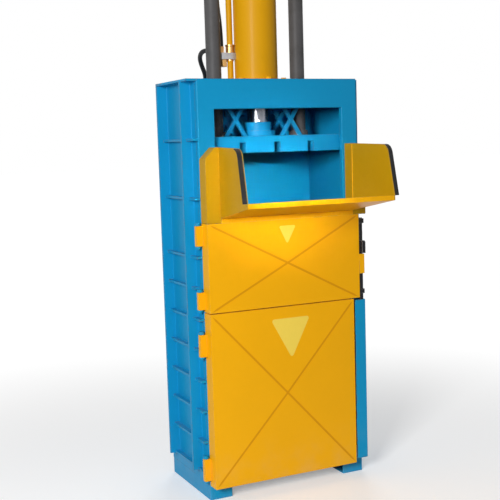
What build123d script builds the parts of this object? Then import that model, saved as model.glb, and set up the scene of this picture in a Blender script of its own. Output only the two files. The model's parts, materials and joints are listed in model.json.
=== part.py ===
from build123d import *
import os
from math import atan2, cos, pi, radians, sin, tan

# Vertical recycling baler. Millimetres, +Z up, +X to the right seen from the front, +Y to the rear.
# The origin is on the floor, at the centre of the four anchor bolts under the skids.

# Body
BODY_WIDTH = 812
BODY_DEPTH = 460
BODY_HEIGHT = 1900
PLATE = 6
HALF = BODY_WIDTH / 2
FRONT = -BODY_DEPTH / 2
BACK = BODY_DEPTH / 2

# Skids and the bolts that hold the machine down
SKID_WIDTH = 110
SKID_HEIGHT = 75
SKID_WALL = 8
ANCHOR_HOLE_R = 9
ANCHOR_INSET_X = 55
ANCHOR_INSET_Y = 50
ACCESS_HOLE_R = 20
CROSS_WIDTH = 60
CROSS_DEPTH = 55
CROSS_INSET = 110
CROSS_Y = BACK - CROSS_INSET

# Bale chamber floor, with a groove for each strap
FLOOR_SLAB = 20
STRAP_PITCH = 175
STRAP_WIDTH = 30
FLOOR_GROOVE = 14
STRAPS = (-STRAP_PITCH, 0, STRAP_PITCH)
FLOOR_TOP = SKID_HEIGHT + FLOOR_SLAB

# Front frame round the feed opening
POST_WIDTH = 81
FRAME_DEPTH = 25
FRAME_WALL = 5
HEADER_HEIGHT = 133
OPENING_HALF = HALF - POST_WIDTH
OPENING_TOP = BODY_HEIGHT - HEADER_HEIGHT
FRAME_BACK = FRONT + FRAME_DEPTH

# Flat bar stiffeners on the side walls: deep uprights and crown bar, shallow cross bars
RIB_PROUD = 50
CROSS_BAR_PROUD = 25
RIB_THICK = 10
UPRIGHT_THICK = 12
UPRIGHT_FRONT_INSET = 79
UPRIGHT_REAR_INSET = 94
UPRIGHT_FRONT_Y = FRONT + UPRIGHT_FRONT_INSET
UPRIGHT_REAR_Y = BACK - UPRIGHT_REAR_INSET
LOW_PITCH = 140
LOW_COUNT = 8
HIGH_COUNT = 3
LOW_END = LOW_PITCH * LOW_COUNT
RIB_LEVELS = [LOW_PITCH * (i + 1) for i in range(LOW_COUNT)]
RIB_LEVELS += [LOW_END + (BODY_HEIGHT - LOW_END) * (i + 1) / HIGH_COUNT for i in range(HIGH_COUNT)]
HINGE_RELIEF = 40

# Channels across the rear wall
REAR_BEAM_PROUD = 40
REAR_BEAM_HEIGHT = 50
REAR_BEAM_WALL = 5
REAR_BEAM_TOPS = (190, 470, 750, 1030, 1430, BODY_HEIGHT)

# Deck that carries the cylinder
DECK_DROP = 25
DECK_TOP = BODY_HEIGHT - DECK_DROP
DECK_THICK = 25
DECK_BEAM_WIDTH = 60
DECK_BEAM_HEIGHT = 55
DECK_BEAM_WALL = 8
DECK_BEAM_GAP = 35

# Press cylinder
STROKE = 800
BORE_R = 90
BARREL_R = 101.5
FLANGE_R = 150
FLANGE_THICK = 30
FLANGE_CHAMFER = 4
FLANGE_BOLTS = 6
FLANGE_BOLT_CIRCLE_R = 128
BOLT_HEAD_ACROSS = 24
BOLT_HEAD_HEIGHT = 11
GLAND_LENGTH = 60
GLAND_CHAMFER = 3
CAP_THICK = 30
SPIGOT = 15
SPIGOT_CLEAR = 0.1
PISTON_LENGTH = 50
PISTON_END_GAP = 5
PISTON_SPARE = 55
ROD_R = 50
RUNNING = 0.05
ROD_HOLE_CLEAR = 10

# Platen, drawn raised
PLATEN_DROP = 305
PLATEN_BOTTOM = DECK_TOP - PLATEN_DROP
PLATEN_HEIGHT = 75
PLATEN_SIDE_GAP = 8
PLATEN_FRONT_GAP = 8
PLATEN_SKIN = 10
PLATEN_TOP_PLATE = 12
PLATEN_GROOVE = 47
STRAP_CHANNEL_WALL = 6

# Guide rods beside the cylinder
GUIDE_X = 219
GUIDE_R = 35
GUIDE_TOP_SPARE = 80
BUSH_R = 50
BUSH_FLANGE_R = 66
BUSH_FLANGE = 12
BUSH_DROP = 45
DECK_BEAM_Y = BUSH_R + DECK_BEAM_GAP + DECK_BEAM_WIDTH / 2
FOOT_R = 46
FOOT_HEIGHT = 24

# Rod coupling and crossed braces on the platen
COUPLING_R = 82
COUPLING_HEIGHT = 26
COUPLING_NECK_R = 64
COUPLING_NECK = 40
BRACE_X = 145
BRACE_Y = 60
BRACE_CROSS_Z = PLATEN_BOTTOM + 152
BRACE_TOP_Z = PLATEN_BOTTOM + 216
BRACE_SPREAD = 50
BRACE_BAR = 22
BRACE_THICK = 12
TIE_BOTTOM_Z = PLATEN_BOTTOM + 178
TIE_HEIGHT = 18

# Doors
DOOR_THICK = 68
DOOR_GAP = 1
DOOR_SKIN = 4
DOOR_BULGE = 9
DOOR_BACK_PLATE = 6
LOWER_BOTTOM = 71
LOWER_TOP = 868
LOWER_FREE_GAP = 73
LOWER_RIGHT = HALF - LOWER_FREE_GAP
MID_BOTTOM = 872
MID_TOP = 1268
MID_FREE_GAP = 39
MID_RIGHT = HALF - MID_FREE_GAP
DOOR_FACE = FRONT - DOOR_THICK
DOOR_REAR = FRONT - DOOR_GAP
DOOR_BAR_THICK = 6
DOOR_BAR_PITCH = 110

# Hinges on the left corner
HINGE_OFFSET = 18
HINGE_AXIS_X = -HALF - HINGE_OFFSET
HINGE_AXIS_Y = FRONT
KNUCKLE_R = 14
LEAF_FRONT_Y = FRONT - HINGE_OFFSET
PIN_R = 8
PIN_HEAD_R = 12
PIN_HEAD = 5
PIN_TAIL = 6
EAR_THICK = 8
EAR_WELD = 30
HINGE_END_GAP = 0.3
LOWER_HINGES = ((99, 201), (671, 772))
MID_HINGES = ((884, 962), (1168, 1258))

# Lock bar with its cover, guides, hooks and handle
BAR_WIDTH = 18
BAR_DEPTH = 16
BAR_INSET = 33
BAR_LEFT = HALF - BAR_INSET
BAR_SETBACK = 8
BAR_FACE = DOOR_FACE + BAR_SETBACK
BAR_BOTTOM = 100
BAR_TOP = MID_TOP - BAR_WIDTH
LOCK_TRAVEL = 45
HOOK_CLEAR = 5
COVER_GAP = 6
COVER_LEFT = LOWER_RIGHT + COVER_GAP
COVER_INSET = 9
COVER_RIGHT = HALF - COVER_INSET
COVER_WALL = 4
COVER_FOOT = 30
COVER_BOTTOM = 90
COVER_TOP = LOWER_TOP - COVER_GAP
GUIDE_HEIGHT = 22
GUIDE_SLIDE = 0.3
GUIDE_SIDE = 4.2
COVER_GUIDES = (150, 800)
OPEN_GUIDES = (890, 1224)
TAB_REACH = 5
TAB_OFFSET = 32
TAB_FACE = FRONT - TAB_OFFSET
TAB_THICK = 12
TAB_HEIGHT = 40
TAB_BOTTOMS = (230, 620)
FINGER_THICK = 14
FINGER_GAP = 5
LUG_BOTTOM = 986
LUG_TOP = 1079
LUG_WALL = 4
LUG_INSET = 11
LUG_RIGHT = HALF - LUG_INSET
FLANGE_HOOK_GAP = 4
HANDLE_DROP = 80
HANDLE_ARM_Z = BAR_TOP - HANDLE_DROP
HANDLE_ARM_THICK = 12
GRIP_OUT = 34
GRIP_X = HALF + GRIP_OUT
GRIP_BACK = 42
GRIP_Y = FRONT + GRIP_BACK
GRIP_R = 12
GRIP_LENGTH = 120
HANDLE_BAR_DEPTH = 10
HANDLE_END = 8

# Hopper on the middle door
EAR_WIDTH = 69
EAR_INNER = HALF - EAR_WIDTH
EAR_TOP = 1600
EAR_TUBE_WALL = 4
EAR_CHAMFER = 48
SHEET = 4
BASE_FLANGE = 20
CHEEK_SPLAY = 19
CHEEK_FRONT_X = EAR_INNER + CHEEK_SPLAY
CHEEK_CORNER_R = 45
CHEEK_CORNER_STEPS = 4
MOUTH_TOP_Y = -563
MOUTH_TOP_Z = 1592
LIP_Y = -613
LIP_BOTTOM_Z = 1346
LIP_HEIGHT = 22
CHEEK_FLANGE = 25
STRIP_THICK = 5

# Pressure pipe, its blocks and the hoses
PIPE_X = -122
PIPE_Y = 25
PIPE_R = 14
PLUG_X = -159
PLUG_R = 17
PLUG_LENGTH = 34
BLOCK_LEFT = -177
BLOCK_INNER = -88
BLOCK_FRONT = 4
BLOCK_BACK = 62
LOW_BLOCK_RISE = 131
LOW_BLOCK_Z = DECK_TOP + LOW_BLOCK_RISE
LOW_BLOCK_HEIGHT = 30
HIGH_BLOCK_HEIGHT = 50
HIGH_BLOCK_DROP = 130
NUT_R = 20
RING_R = 22.5
NUT_HEIGHT = 30
SEAL_HEIGHT = 8
WASHER_WALL = 2.5
HOSE_R = 11
FERRULE_R = 13
FITTING_R = 14

# Hose routes: each list runs from one fitting to the other
LOWER_ROUTE = [(-156, 82, DECK_TOP + 159), (-184, 112, DECK_TOP + 181), (-204, 163, DECK_TOP + 183),
               (-197, 217, DECK_TOP + 159), (-172, 251, DECK_TOP + 121), (-149, 265, DECK_TOP + 82),
               (-136, 295, DECK_TOP + 48), (-136, 334, DECK_TOP - 3), (-136, 353, 1786), (-136, 353, 1610)]
UPPER_ROUTE = [(-164, 32, DECK_TOP + 191), (-164, 32, DECK_TOP + 265), (-172, 52, DECK_TOP + 415),
               (-172, 52, DECK_TOP + 605), (-164, 32, DECK_TOP + 755), (-164, 32, DECK_TOP + 831)]

# Power pack on the rear wall
SHELF_RISE = 120
SHELF_Z = REAR_BEAM_TOPS[3] + SHELF_RISE
SHELF_LEFT = -215
SHELF_RIGHT = 315
SHELF_DEPTH = 290
SHELF_BACK = BACK + SHELF_DEPTH
SHELF_PLATE = 8
GUSSET_DROP = 230
GUSSET_X = (-170, 50, 270)
TANK_GAP = 15
TANK_FRONT = BACK + REAR_BEAM_PROUD + TANK_GAP
TANK_INSET = 15
TANK_HEIGHT = 320
TANK_CORNER_R = 22
LID_THICK = 6
LID_OVERHANG = 8
MOTOR_X = 150
MOTOR_INSET = 120
MOTOR_Y = SHELF_BACK - MOTOR_INSET
BELL_R = 72
BELL_HEIGHT = 70
BELL_WAIST = 18
BELL_FLANGE = 10
BELL_RIM = 8
MOTOR_R = 80
MOTOR_LENGTH = 200
FIN_COUNT = 24
FIN_DEPTH = 8
FIN_THICK = 4
COWL_HEIGHT = 52
COWL_RIM_R = 14
AIR_SLOTS = 12
AIR_SLOT_WIDTH = 7
AIR_SLOT_DEPTH = 5
VALVE_X = -136
VALVE_INSET = 68
VALVE_Y = TANK_FRONT + VALVE_INSET
VALVE_WIDTH = 100
VALVE_DEPTH = 80
VALVE_HEIGHT = 110
SOLENOID_R = 17
SOLENOID_LENGTH = 58
CAP_X = -20
CAP_INSET = 65
CAP_Y = SHELF_BACK - CAP_INSET
FILLER_R = 28
FILLER_HEIGHT = 40
FILLER_NECK = 12
SCALLOP_R = 5
SCALLOP_COUNT = 10

# Control box on the right side, on the edges of the stiffeners
BOX_LENGTH = 160
BOX_FRONT_REACH = 92
BOX_FRONT = UPRIGHT_REAR_Y - BOX_FRONT_REACH
BOX_BACK = BOX_FRONT + BOX_LENGTH
BOX_HEIGHT = 200
BOX_DROP = 280
BOX_TOP = BODY_HEIGHT - BOX_DROP
BOX_BOTTOM = BOX_TOP - BOX_HEIGHT
BOX_DEPTH = 90
BOX_CORNER_R = 8
COVER_SHEET = 3
STOP_DROP = 50
START_RISE = 60
STOP_Z = BOX_TOP - STOP_DROP
START_Z = BOX_BOTTOM + START_RISE
STEM_R = 8
STEM_LENGTH = 22
BUTTON_TRAVEL = 4
STOP_HEAD_R = 20
START_HEAD_R = 14
STOP_HEAD = 16
START_HEAD = 8
COLLAR_FACE = 3

# Derived places
PLATEN_TOP = PLATEN_BOTTOM + PLATEN_HEIGHT
FLANGE_TOP = DECK_TOP + FLANGE_THICK
GLAND_TOP = DECK_TOP + GLAND_LENGTH
PISTON_BOTTOM = GLAND_TOP + PISTON_SPARE + STROKE
CAP_SPIGOT_Z = PISTON_BOTTOM + PISTON_LENGTH + PISTON_END_GAP
BARREL_TOP = CAP_SPIGOT_Z + SPIGOT
COUPLING_TOP = PLATEN_TOP + COUPLING_HEIGHT + COUPLING_NECK
GUIDE_TOP = DECK_TOP + BUSH_FLANGE + STROKE + GUIDE_TOP_SPARE
PLATEN_HALF = HALF - PLATE - PLATEN_SIDE_GAP
PLATEN_FRONT = FRAME_BACK + PLATEN_FRONT_GAP
PLATEN_BACK = BACK - PLATE - PLATEN_FRONT_GAP
HIGH_BLOCK_Z = BARREL_TOP - HIGH_BLOCK_DROP
TANK_BOTTOM = SHELF_Z
LID_Z = TANK_BOTTOM + TANK_HEIGHT
PACK_TOP = LID_Z + LID_THICK


def slab(x, y, z):
    """Plate or bar between two faces on each axis."""
    centre = ((x[0] + x[1]) / 2, (y[0] + y[1]) / 2, (z[0] + z[1]) / 2)
    return Pos(*centre) * Box(x[1] - x[0], y[1] - y[0], z[1] - z[0])


def along_x(outline, x):
    """Outline given as (y, z) points, run between two x."""
    face = Plane.YZ.offset(x[0]) * Polygon(*outline, align=None)
    return extrude(face, amount=x[1] - x[0], dir=(1, 0, 0))


def along_y(outline, y):
    """Outline given as (x, z) points, run between two y."""
    face = Plane.XZ.offset(-y[0]) * Polygon(*outline, align=None)
    return extrude(face, amount=y[1] - y[0], dir=(0, 1, 0))


def along_z(outline, z):
    """Outline given as (x, y) points, run between two z."""
    face = Plane.XY.offset(z[0]) * Polygon(*outline, align=None)
    return extrude(face, amount=z[1] - z[0], dir=(0, 0, 1))


def upright(x, y, z, radius):
    """Round bar standing at x, y between two heights."""
    return Pos(x, y, z[0]) * extrude(Circle(radius), amount=z[1] - z[0])


def ring(x, y, z, outer, inner):
    """Round bush standing at x, y between two heights."""
    return Pos(x, y, z[0]) * extrude(Circle(outer) - Circle(inner), amount=z[1] - z[0])


def hexagon(x, y, z, across):
    """Hexagonal nut or bolt head standing at x, y."""
    return Pos(x, y, z[0]) * extrude(RegularPolygon(across / 2, 6, major_radius=False), amount=z[1] - z[0])


def between(start, end, radius):
    """Round bar from one point to another."""
    path = Line(start, end)
    return extrude(Plane(origin=start, z_dir=path % 0) * Circle(radius), amount=path.length)


def save(name, *shapes):
    """Write one node from its solids."""
    solids = [solid for shape in shapes for solid in shape.solids()]
    shape = solids[0] if len(solids) == 1 else Compound(solids)
    export_step(shape, f"parts/{name}.step")


# Base

def skid(side):
    """Channel with its web outside, closed by a plate at each end, holed for the anchor bolts."""
    outer = side * HALF
    inner = side * (HALF - SKID_WIDTH)
    lip = outer - side * SKID_WALL
    top = SKID_HEIGHT - SKID_WALL
    outline = [(outer, 0), (inner, 0), (inner, SKID_WALL), (lip, SKID_WALL),
               (lip, top), (inner, top), (inner, SKID_HEIGHT), (outer, SKID_HEIGHT)]
    body = along_y(outline, (FRONT, BACK))
    low, high = sorted((inner, lip))
    for end in ((FRONT, FRONT + SKID_WALL), (BACK - SKID_WALL, BACK)):
        body += slab((low, high), end, (SKID_WALL, top))
    for y in (FRONT + ANCHOR_INSET_Y, BACK - ANCHOR_INSET_Y):
        x = outer - side * ANCHOR_INSET_X
        body -= upright(x, y, (-1, SKID_WALL + 1), ANCHOR_HOLE_R)
        body -= upright(x, y, (top - 1, SKID_HEIGHT + 1), ACCESS_HOLE_R)
    return body


def cross_member(y):
    """Channel across the base, open downwards, between the skids."""
    reach = HALF - SKID_WIDTH
    low = SKID_HEIGHT - CROSS_DEPTH
    body = slab((-reach, reach), (y - CROSS_WIDTH / 2, y + CROSS_WIDTH / 2), (low, SKID_HEIGHT))
    inside = CROSS_WIDTH / 2 - PLATE
    return body - slab((-reach, reach), (y - inside, y + inside), (low, SKID_HEIGHT - PLATE))


def chamber_floor():
    """Thick floor plate with a strap groove at each strap, let in between the front posts."""
    reach = HALF - PLATE
    body = slab((-reach, reach), (FRONT, BACK - PLATE), (SKID_HEIGHT, FLOOR_TOP))
    for side in (-1, 1):
        near, far = sorted((side * OPENING_HALF, side * reach))
        body -= slab((near, far), (FRONT, FRAME_BACK), (SKID_HEIGHT, FLOOR_TOP))
    groove_bottom = FLOOR_TOP - FLOOR_GROOVE
    for x in STRAPS:
        sides = (x - STRAP_WIDTH / 2, x + STRAP_WIDTH / 2)
        body -= slab(sides, (FRONT, BACK - PLATE), (groove_bottom, FLOOR_TOP))
    return body


# Body walls and frame

def front_post(side):
    """Folded channel beside the opening, its web to the front."""
    outer = side * HALF
    inner = side * OPENING_HALF
    web = FRONT + FRAME_WALL
    outline = [(outer, FRONT), (inner, FRONT), (inner, FRAME_BACK), (inner + side * FRAME_WALL, FRAME_BACK),
               (inner + side * FRAME_WALL, web), (outer - side * FRAME_WALL, web),
               (outer - side * FRAME_WALL, FRAME_BACK), (outer, FRAME_BACK)]
    return along_z(outline, (SKID_HEIGHT, BODY_HEIGHT))


def header():
    """Folded channel over the opening, its web to the front."""
    web = FRONT + FRAME_WALL
    outline = [(FRONT, OPENING_TOP), (FRAME_BACK, OPENING_TOP), (FRAME_BACK, OPENING_TOP + FRAME_WALL),
               (web, OPENING_TOP + FRAME_WALL), (web, BODY_HEIGHT - FRAME_WALL),
               (FRAME_BACK, BODY_HEIGHT - FRAME_WALL), (FRAME_BACK, BODY_HEIGHT), (FRONT, BODY_HEIGHT)]
    return along_x(outline, (-OPENING_HALF, OPENING_HALF))


def front_frame():
    """Posts and header welded flush into one frame."""
    return front_post(-1) + front_post(1) + header()


def side_wall(side):
    x = sorted((side * HALF, side * (HALF - PLATE)))
    return slab(x, (FRAME_BACK, BACK), (SKID_HEIGHT, BODY_HEIGHT))


def rear_wall():
    reach = HALF - PLATE
    return slab((-reach, reach), (BACK - PLATE, BACK), (SKID_HEIGHT, BODY_HEIGHT))


def near_hinge(level):
    """True where a stiffener at this level would foul a hinge."""
    zones = [(low - HINGE_RELIEF, high + HINGE_RELIEF) for low, high in LOWER_HINGES + MID_HINGES]
    return any(low < level < high for low, high in zones)


def side_stiffeners(side):
    """Two uprights with rows of flat bars between them, welded edge-on to a side wall."""
    x = sorted((side * HALF, side * (HALF + RIB_PROUD)))
    half = UPRIGHT_THICK / 2
    lowest = RIB_LEVELS[0] - RIB_THICK
    bars = [slab(x, (y - half, y + half), (lowest, BODY_HEIGHT)) for y in (UPRIGHT_FRONT_Y, UPRIGHT_REAR_Y)]
    for level in RIB_LEVELS:
        proud = RIB_PROUD if level > BODY_HEIGHT - RIB_THICK else CROSS_BAR_PROUD
        reach = sorted((side * HALF, side * (HALF + proud)))
        z = (level - RIB_THICK, level)
        bars.append(slab(reach, (UPRIGHT_FRONT_Y + half, UPRIGHT_REAR_Y - half), z))
        if side < 0:
            start = FRONT + HINGE_RELIEF if near_hinge(level) else FRONT
            bars.append(slab(reach, (start, UPRIGHT_FRONT_Y - half), z))
    return bars


def rear_beam(top):
    """Channel across the rear wall with its web outside."""
    low = top - REAR_BEAM_HEIGHT
    face = BACK + REAR_BEAM_PROUD
    body = slab((-HALF, HALF), (BACK, face), (low, top))
    inside = (low + REAR_BEAM_WALL, top - REAR_BEAM_WALL)
    return body - slab((-HALF, HALF), (BACK, face - REAR_BEAM_WALL), inside)


def top_deck():
    """Thick plate under the cylinder, holed for the rod and the two guides."""
    reach = HALF - PLATE
    deck = slab((-reach, reach), (FRAME_BACK, BACK - PLATE), (DECK_TOP - DECK_THICK, DECK_TOP))
    through = (DECK_TOP - DECK_THICK - 1, DECK_TOP + 1)
    deck -= upright(0, 0, through, ROD_R + ROD_HOLE_CLEAR)
    for x in (-GUIDE_X, GUIDE_X):
        deck -= upright(x, 0, through, BUSH_R)
    return deck


def deck_beam(y):
    """Channel under the deck, open downwards, from wall to wall."""
    reach = HALF - PLATE
    top = DECK_TOP - DECK_THICK
    half = DECK_BEAM_WIDTH / 2
    body = slab((-reach, reach), (y - half, y + half), (top - DECK_BEAM_HEIGHT, top))
    inside = half - DECK_BEAM_WALL
    return body - slab((-reach, reach), (y - inside, y + inside),
                       (top - DECK_BEAM_HEIGHT, top - DECK_BEAM_WALL))


def guide_bush(x):
    """Flanged bush through the deck, bored for the guide rod."""
    bush = upright(x, 0, (DECK_TOP - BUSH_DROP, DECK_TOP), BUSH_R)
    bush += upright(x, 0, (DECK_TOP, DECK_TOP + BUSH_FLANGE), BUSH_FLANGE_R)
    return bush - upright(x, 0, (DECK_TOP - BUSH_DROP - 1, DECK_TOP + BUSH_FLANGE + 1), GUIDE_R + RUNNING)


# Cylinder

def cylinder_flange():
    """Bolted ring at the cylinder's foot."""
    flange = ring(0, 0, (DECK_TOP, FLANGE_TOP), FLANGE_R, BORE_R)
    top_edges = flange.edges().filter_by(GeomType.CIRCLE).group_by(Axis.Z)[-1]
    return chamfer(top_edges.sort_by(SortBy.RADIUS)[-1], FLANGE_CHAMFER)


def cylinder_barrel():
    return ring(0, 0, (FLANGE_TOP, BARREL_TOP), BARREL_R, BORE_R)


def cylinder_gland():
    """Rod gland inside the flange, with a wiper lip on top."""
    gland = ring(0, 0, (DECK_TOP, GLAND_TOP), BORE_R - SPIGOT_CLEAR, ROD_R + RUNNING)
    top_edges = gland.edges().filter_by(GeomType.CIRCLE).group_by(Axis.Z)[-1]
    return chamfer(top_edges.sort_by(SortBy.RADIUS)[-1], GLAND_CHAMFER)


def cylinder_cap():
    """Turned end cap with a spigot in the bore and a lifting boss on top."""
    spigot = BORE_R - SPIGOT_CLEAR
    top = BARREL_TOP + CAP_THICK
    boss_r = SPIGOT + CAP_THICK
    outline = [(0, CAP_SPIGOT_Z), (spigot, CAP_SPIGOT_Z), (spigot, BARREL_TOP), (BARREL_R, BARREL_TOP),
               (BARREL_R, top - SPIGOT / 2), (BARREL_R - SPIGOT / 2, top), (boss_r, top),
               (boss_r, top + SPIGOT), (0, top + SPIGOT)]
    return revolve(Plane.XZ * Polygon(*outline, align=None), axis=Axis.Z)


def cylinder_bolts():
    """Bolt heads round the flange."""
    step = 2 * pi / FLANGE_BOLTS
    heads = []
    for i in range(FLANGE_BOLTS):
        angle = step * (i + 0.5)
        x = FLANGE_BOLT_CIRCLE_R * cos(angle)
        y = FLANGE_BOLT_CIRCLE_R * sin(angle)
        heads.append(hexagon(x, y, (FLANGE_TOP, FLANGE_TOP + BOLT_HEAD_HEIGHT), BOLT_HEAD_ACROSS))
    return heads


# Ram

def platen_sole():
    """Pressing face: soles between the straps, folded up over each strap groove."""
    low = PLATEN_BOTTOM
    sole = low + PLATEN_SKIN
    groove = low + PLATEN_GROOVE
    half = STRAP_WIDTH / 2
    wall = STRAP_CHANNEL_WALL
    reach = PLATEN_HALF - PLATEN_SKIN
    y = (PLATEN_FRONT + PLATEN_SKIN, PLATEN_BACK - PLATEN_SKIN)
    under = [(-reach, low)]
    over = [(-reach, sole)]
    for x in STRAPS:
        under += [(x - half, low), (x - half, groove), (x + half, groove), (x + half, low)]
        over += [(x - half - wall, sole), (x - half - wall, groove + wall)]
        over += [(x + half + wall, groove + wall), (x + half + wall, sole)]
    under.append((reach, low))
    over.append((reach, sole))
    return along_y(under + over[::-1], y)


def notched_rail(y):
    """Rail across the platen with a notch for each strap."""
    rail = slab((-PLATEN_HALF, PLATEN_HALF), y, (PLATEN_BOTTOM, PLATEN_TOP))
    half = STRAP_WIDTH / 2
    for x in STRAPS:
        rail -= slab((x - half, x + half), y, (PLATEN_BOTTOM, PLATEN_BOTTOM + PLATEN_GROOVE))
    return rail


def platen_rails():
    """Front and rear rails, end plates and the top plate that carries the coupling."""
    front = (PLATEN_FRONT, PLATEN_FRONT + PLATEN_SKIN)
    rear = (PLATEN_BACK - PLATEN_SKIN, PLATEN_BACK)
    between_rails = (front[1], rear[0])
    reach = PLATEN_HALF - PLATEN_SKIN
    ends = [slab(x, between_rails, (PLATEN_BOTTOM, PLATEN_TOP))
            for x in ((-PLATEN_HALF, -reach), (reach, PLATEN_HALF))]
    top = slab((-reach, reach), between_rails, (PLATEN_TOP - PLATEN_TOP_PLATE, PLATEN_TOP))
    return [notched_rail(front), notched_rail(rear), top] + ends


def brace(centre, y):
    """Crossed pair of bars beside the coupling, cut from one plate."""
    low, high = PLATEN_TOP, BRACE_TOP_Z
    half = BRACE_BAR / 2
    foot = BRACE_SPREAD
    head = BRACE_SPREAD * (high - BRACE_CROSS_Z) / (BRACE_CROSS_Z - low)
    cross = None
    for way in (-1, 1):
        bottom = centre - way * foot
        top = centre + way * head
        outline = [(bottom - half, low), (bottom + half, low), (top + half, high), (top - half, high)]
        bar = along_y(outline, y)
        cross = bar if cross is None else cross + bar
    return cross


def platen_braces():
    """Crossed braces in front of and behind the coupling, the rear two joined by a tie bar."""
    half = BRACE_THICK / 2
    front = (-BRACE_Y - half, -BRACE_Y + half)
    rear = (BRACE_Y - half, BRACE_Y + half)
    tie = slab((-BRACE_X, BRACE_X), rear, (TIE_BOTTOM_Z, TIE_BOTTOM_Z + TIE_HEIGHT))
    joined = brace(-BRACE_X, rear) + tie + brace(BRACE_X, rear)
    return [brace(-BRACE_X, front), brace(BRACE_X, front), joined]


def rod_coupling():
    """Turned flange and neck that join the rod to the platen."""
    foot = PLATEN_TOP
    outline = [(0, foot), (COUPLING_R, foot), (COUPLING_R, foot + COUPLING_HEIGHT),
               (COUPLING_NECK_R, foot + COUPLING_HEIGHT), (COUPLING_NECK_R, COUPLING_TOP), (0, COUPLING_TOP)]
    return revolve(Plane.XZ * Polygon(*outline, align=None), axis=Axis.Z)


def guide_rod(x):
    """Guide rod with the collar that clamps it to the platen."""
    rod = upright(x, 0, (PLATEN_TOP, GUIDE_TOP), GUIDE_R)
    rod = chamfer(rod.edges().group_by(Axis.Z)[-1], 4)
    return rod + upright(x, 0, (PLATEN_TOP, PLATEN_TOP + FOOT_HEIGHT), FOOT_R)


# Doors

def door_skin(right, bottom, top):
    """Folded pan, open to the rear, its face creased from corner to corner."""
    width = right + HALF
    height = top - bottom
    centre = ((right - HALF) / 2, (top + bottom) / 2)

    def crown(inset, face, apex):
        plane = Plane.XZ.offset(-face)
        base = plane * Pos(centre[0], centre[1]) * Rectangle(width - inset, height - inset)
        return loft([base, Vertex(centre[0], apex, centre[1])])

    outer = slab((-HALF, right), (DOOR_FACE, DOOR_REAR), (bottom, top))
    outer += crown(0, DOOR_FACE, DOOR_FACE - DOOR_BULGE)
    inner = slab((-HALF + DOOR_SKIN, right - DOOR_SKIN), (DOOR_FACE + DOOR_SKIN, DOOR_REAR),
                 (bottom + DOOR_SKIN, top - DOOR_SKIN))
    inner += crown(2 * DOOR_SKIN, DOOR_FACE + DOOR_SKIN, DOOR_FACE + DOOR_SKIN - DOOR_BULGE)
    return outer - inner


def door_frame(right, bottom, top, rows):
    """Back plate inside the pan with flat bars standing on it."""
    x = (-HALF + DOOR_SKIN, right - DOOR_SKIN)
    plate_face = DOOR_REAR - DOOR_BACK_PLATE
    pieces = [slab(x, (plate_face, DOOR_REAR), (bottom + DOOR_SKIN, top - DOOR_SKIN))]
    middle = (bottom + top) / 2
    half = DOOR_BAR_THICK / 2
    for i in range(rows):
        z = middle + DOOR_BAR_PITCH * (i - (rows - 1) / 2)
        pieces.append(slab(x, (DOOR_FACE + DOOR_SKIN, plate_face), (z - half, z + half)))
    return pieces


def hinge_leaf(z):
    """Hinge block on the door's edge, bored for the pin."""
    outer = HINGE_AXIS_X - KNUCKLE_R
    inner = HINGE_AXIS_X + KNUCKLE_R
    outline = [(outer, LEAF_FRONT_Y), (-HALF, LEAF_FRONT_Y), (-HALF, DOOR_REAR),
               (inner, DOOR_REAR), (inner, HINGE_AXIS_Y), (outer, HINGE_AXIS_Y)]
    leaf = along_z(outline, z) + upright(HINGE_AXIS_X, HINGE_AXIS_Y, z, KNUCKLE_R)
    return leaf - upright(HINGE_AXIS_X, HINGE_AXIS_Y, z, PIN_R + RUNNING)


def hinge_ears(z):
    """Two ears welded to the body's corner, above and below the hinge block."""
    ears = []
    for low in (z[0] - HINGE_END_GAP - EAR_THICK, z[1] + HINGE_END_GAP):
        span = (low, low + EAR_THICK)
        weld = slab((HINGE_AXIS_X, -HALF), (HINGE_AXIS_Y, HINGE_AXIS_Y + EAR_WELD), span)
        ear = upright(HINGE_AXIS_X, HINGE_AXIS_Y, span, KNUCKLE_R) + weld
        ears.append(ear - upright(HINGE_AXIS_X, HINGE_AXIS_Y, span, PIN_R + RUNNING))
    return ears


def hinge_pin(z):
    """Pin dropped through the ears, held by its head."""
    seat = z[1] + HINGE_END_GAP + EAR_THICK
    foot = z[0] - HINGE_END_GAP - EAR_THICK - PIN_TAIL
    pin = upright(HINGE_AXIS_X, HINGE_AXIS_Y, (foot, seat), PIN_R)
    return pin + upright(HINGE_AXIS_X, HINGE_AXIS_Y, (seat, seat + PIN_HEAD), PIN_HEAD_R)


def lower_tab(z):
    """Tab on the lower door's free edge that the hook finger holds."""
    x = (LOWER_RIGHT, LOWER_RIGHT + TAB_REACH)
    return slab(x, (TAB_FACE, TAB_FACE + TAB_THICK), (z, z + TAB_HEIGHT))


def mid_lug():
    """Folded lug on the middle door's free edge, reaching in front of the lock bar."""
    outline = [(MID_RIGHT, DOOR_FACE), (LUG_RIGHT, DOOR_FACE), (LUG_RIGHT, DOOR_FACE + LUG_WALL),
               (MID_RIGHT + LUG_WALL, DOOR_FACE + LUG_WALL), (MID_RIGHT + LUG_WALL, DOOR_REAR),
               (MID_RIGHT, DOOR_REAR)]
    return along_z(outline, (LUG_BOTTOM, LUG_TOP))


# Lock

def lock_cover():
    """Folded cover over the lower half of the lock bar, welded to the post by its rear foot."""
    face, back = DOOR_FACE, FRONT
    foot = COVER_RIGHT - COVER_FOOT
    inside = COVER_RIGHT - COVER_WALL
    outline = [(COVER_LEFT, face), (COVER_RIGHT, face), (COVER_RIGHT, back), (foot, back),
               (foot, back - COVER_WALL), (inside, back - COVER_WALL),
               (inside, face + COVER_WALL), (COVER_LEFT, face + COVER_WALL)]
    return along_z(outline, (COVER_BOTTOM, COVER_TOP))


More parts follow.
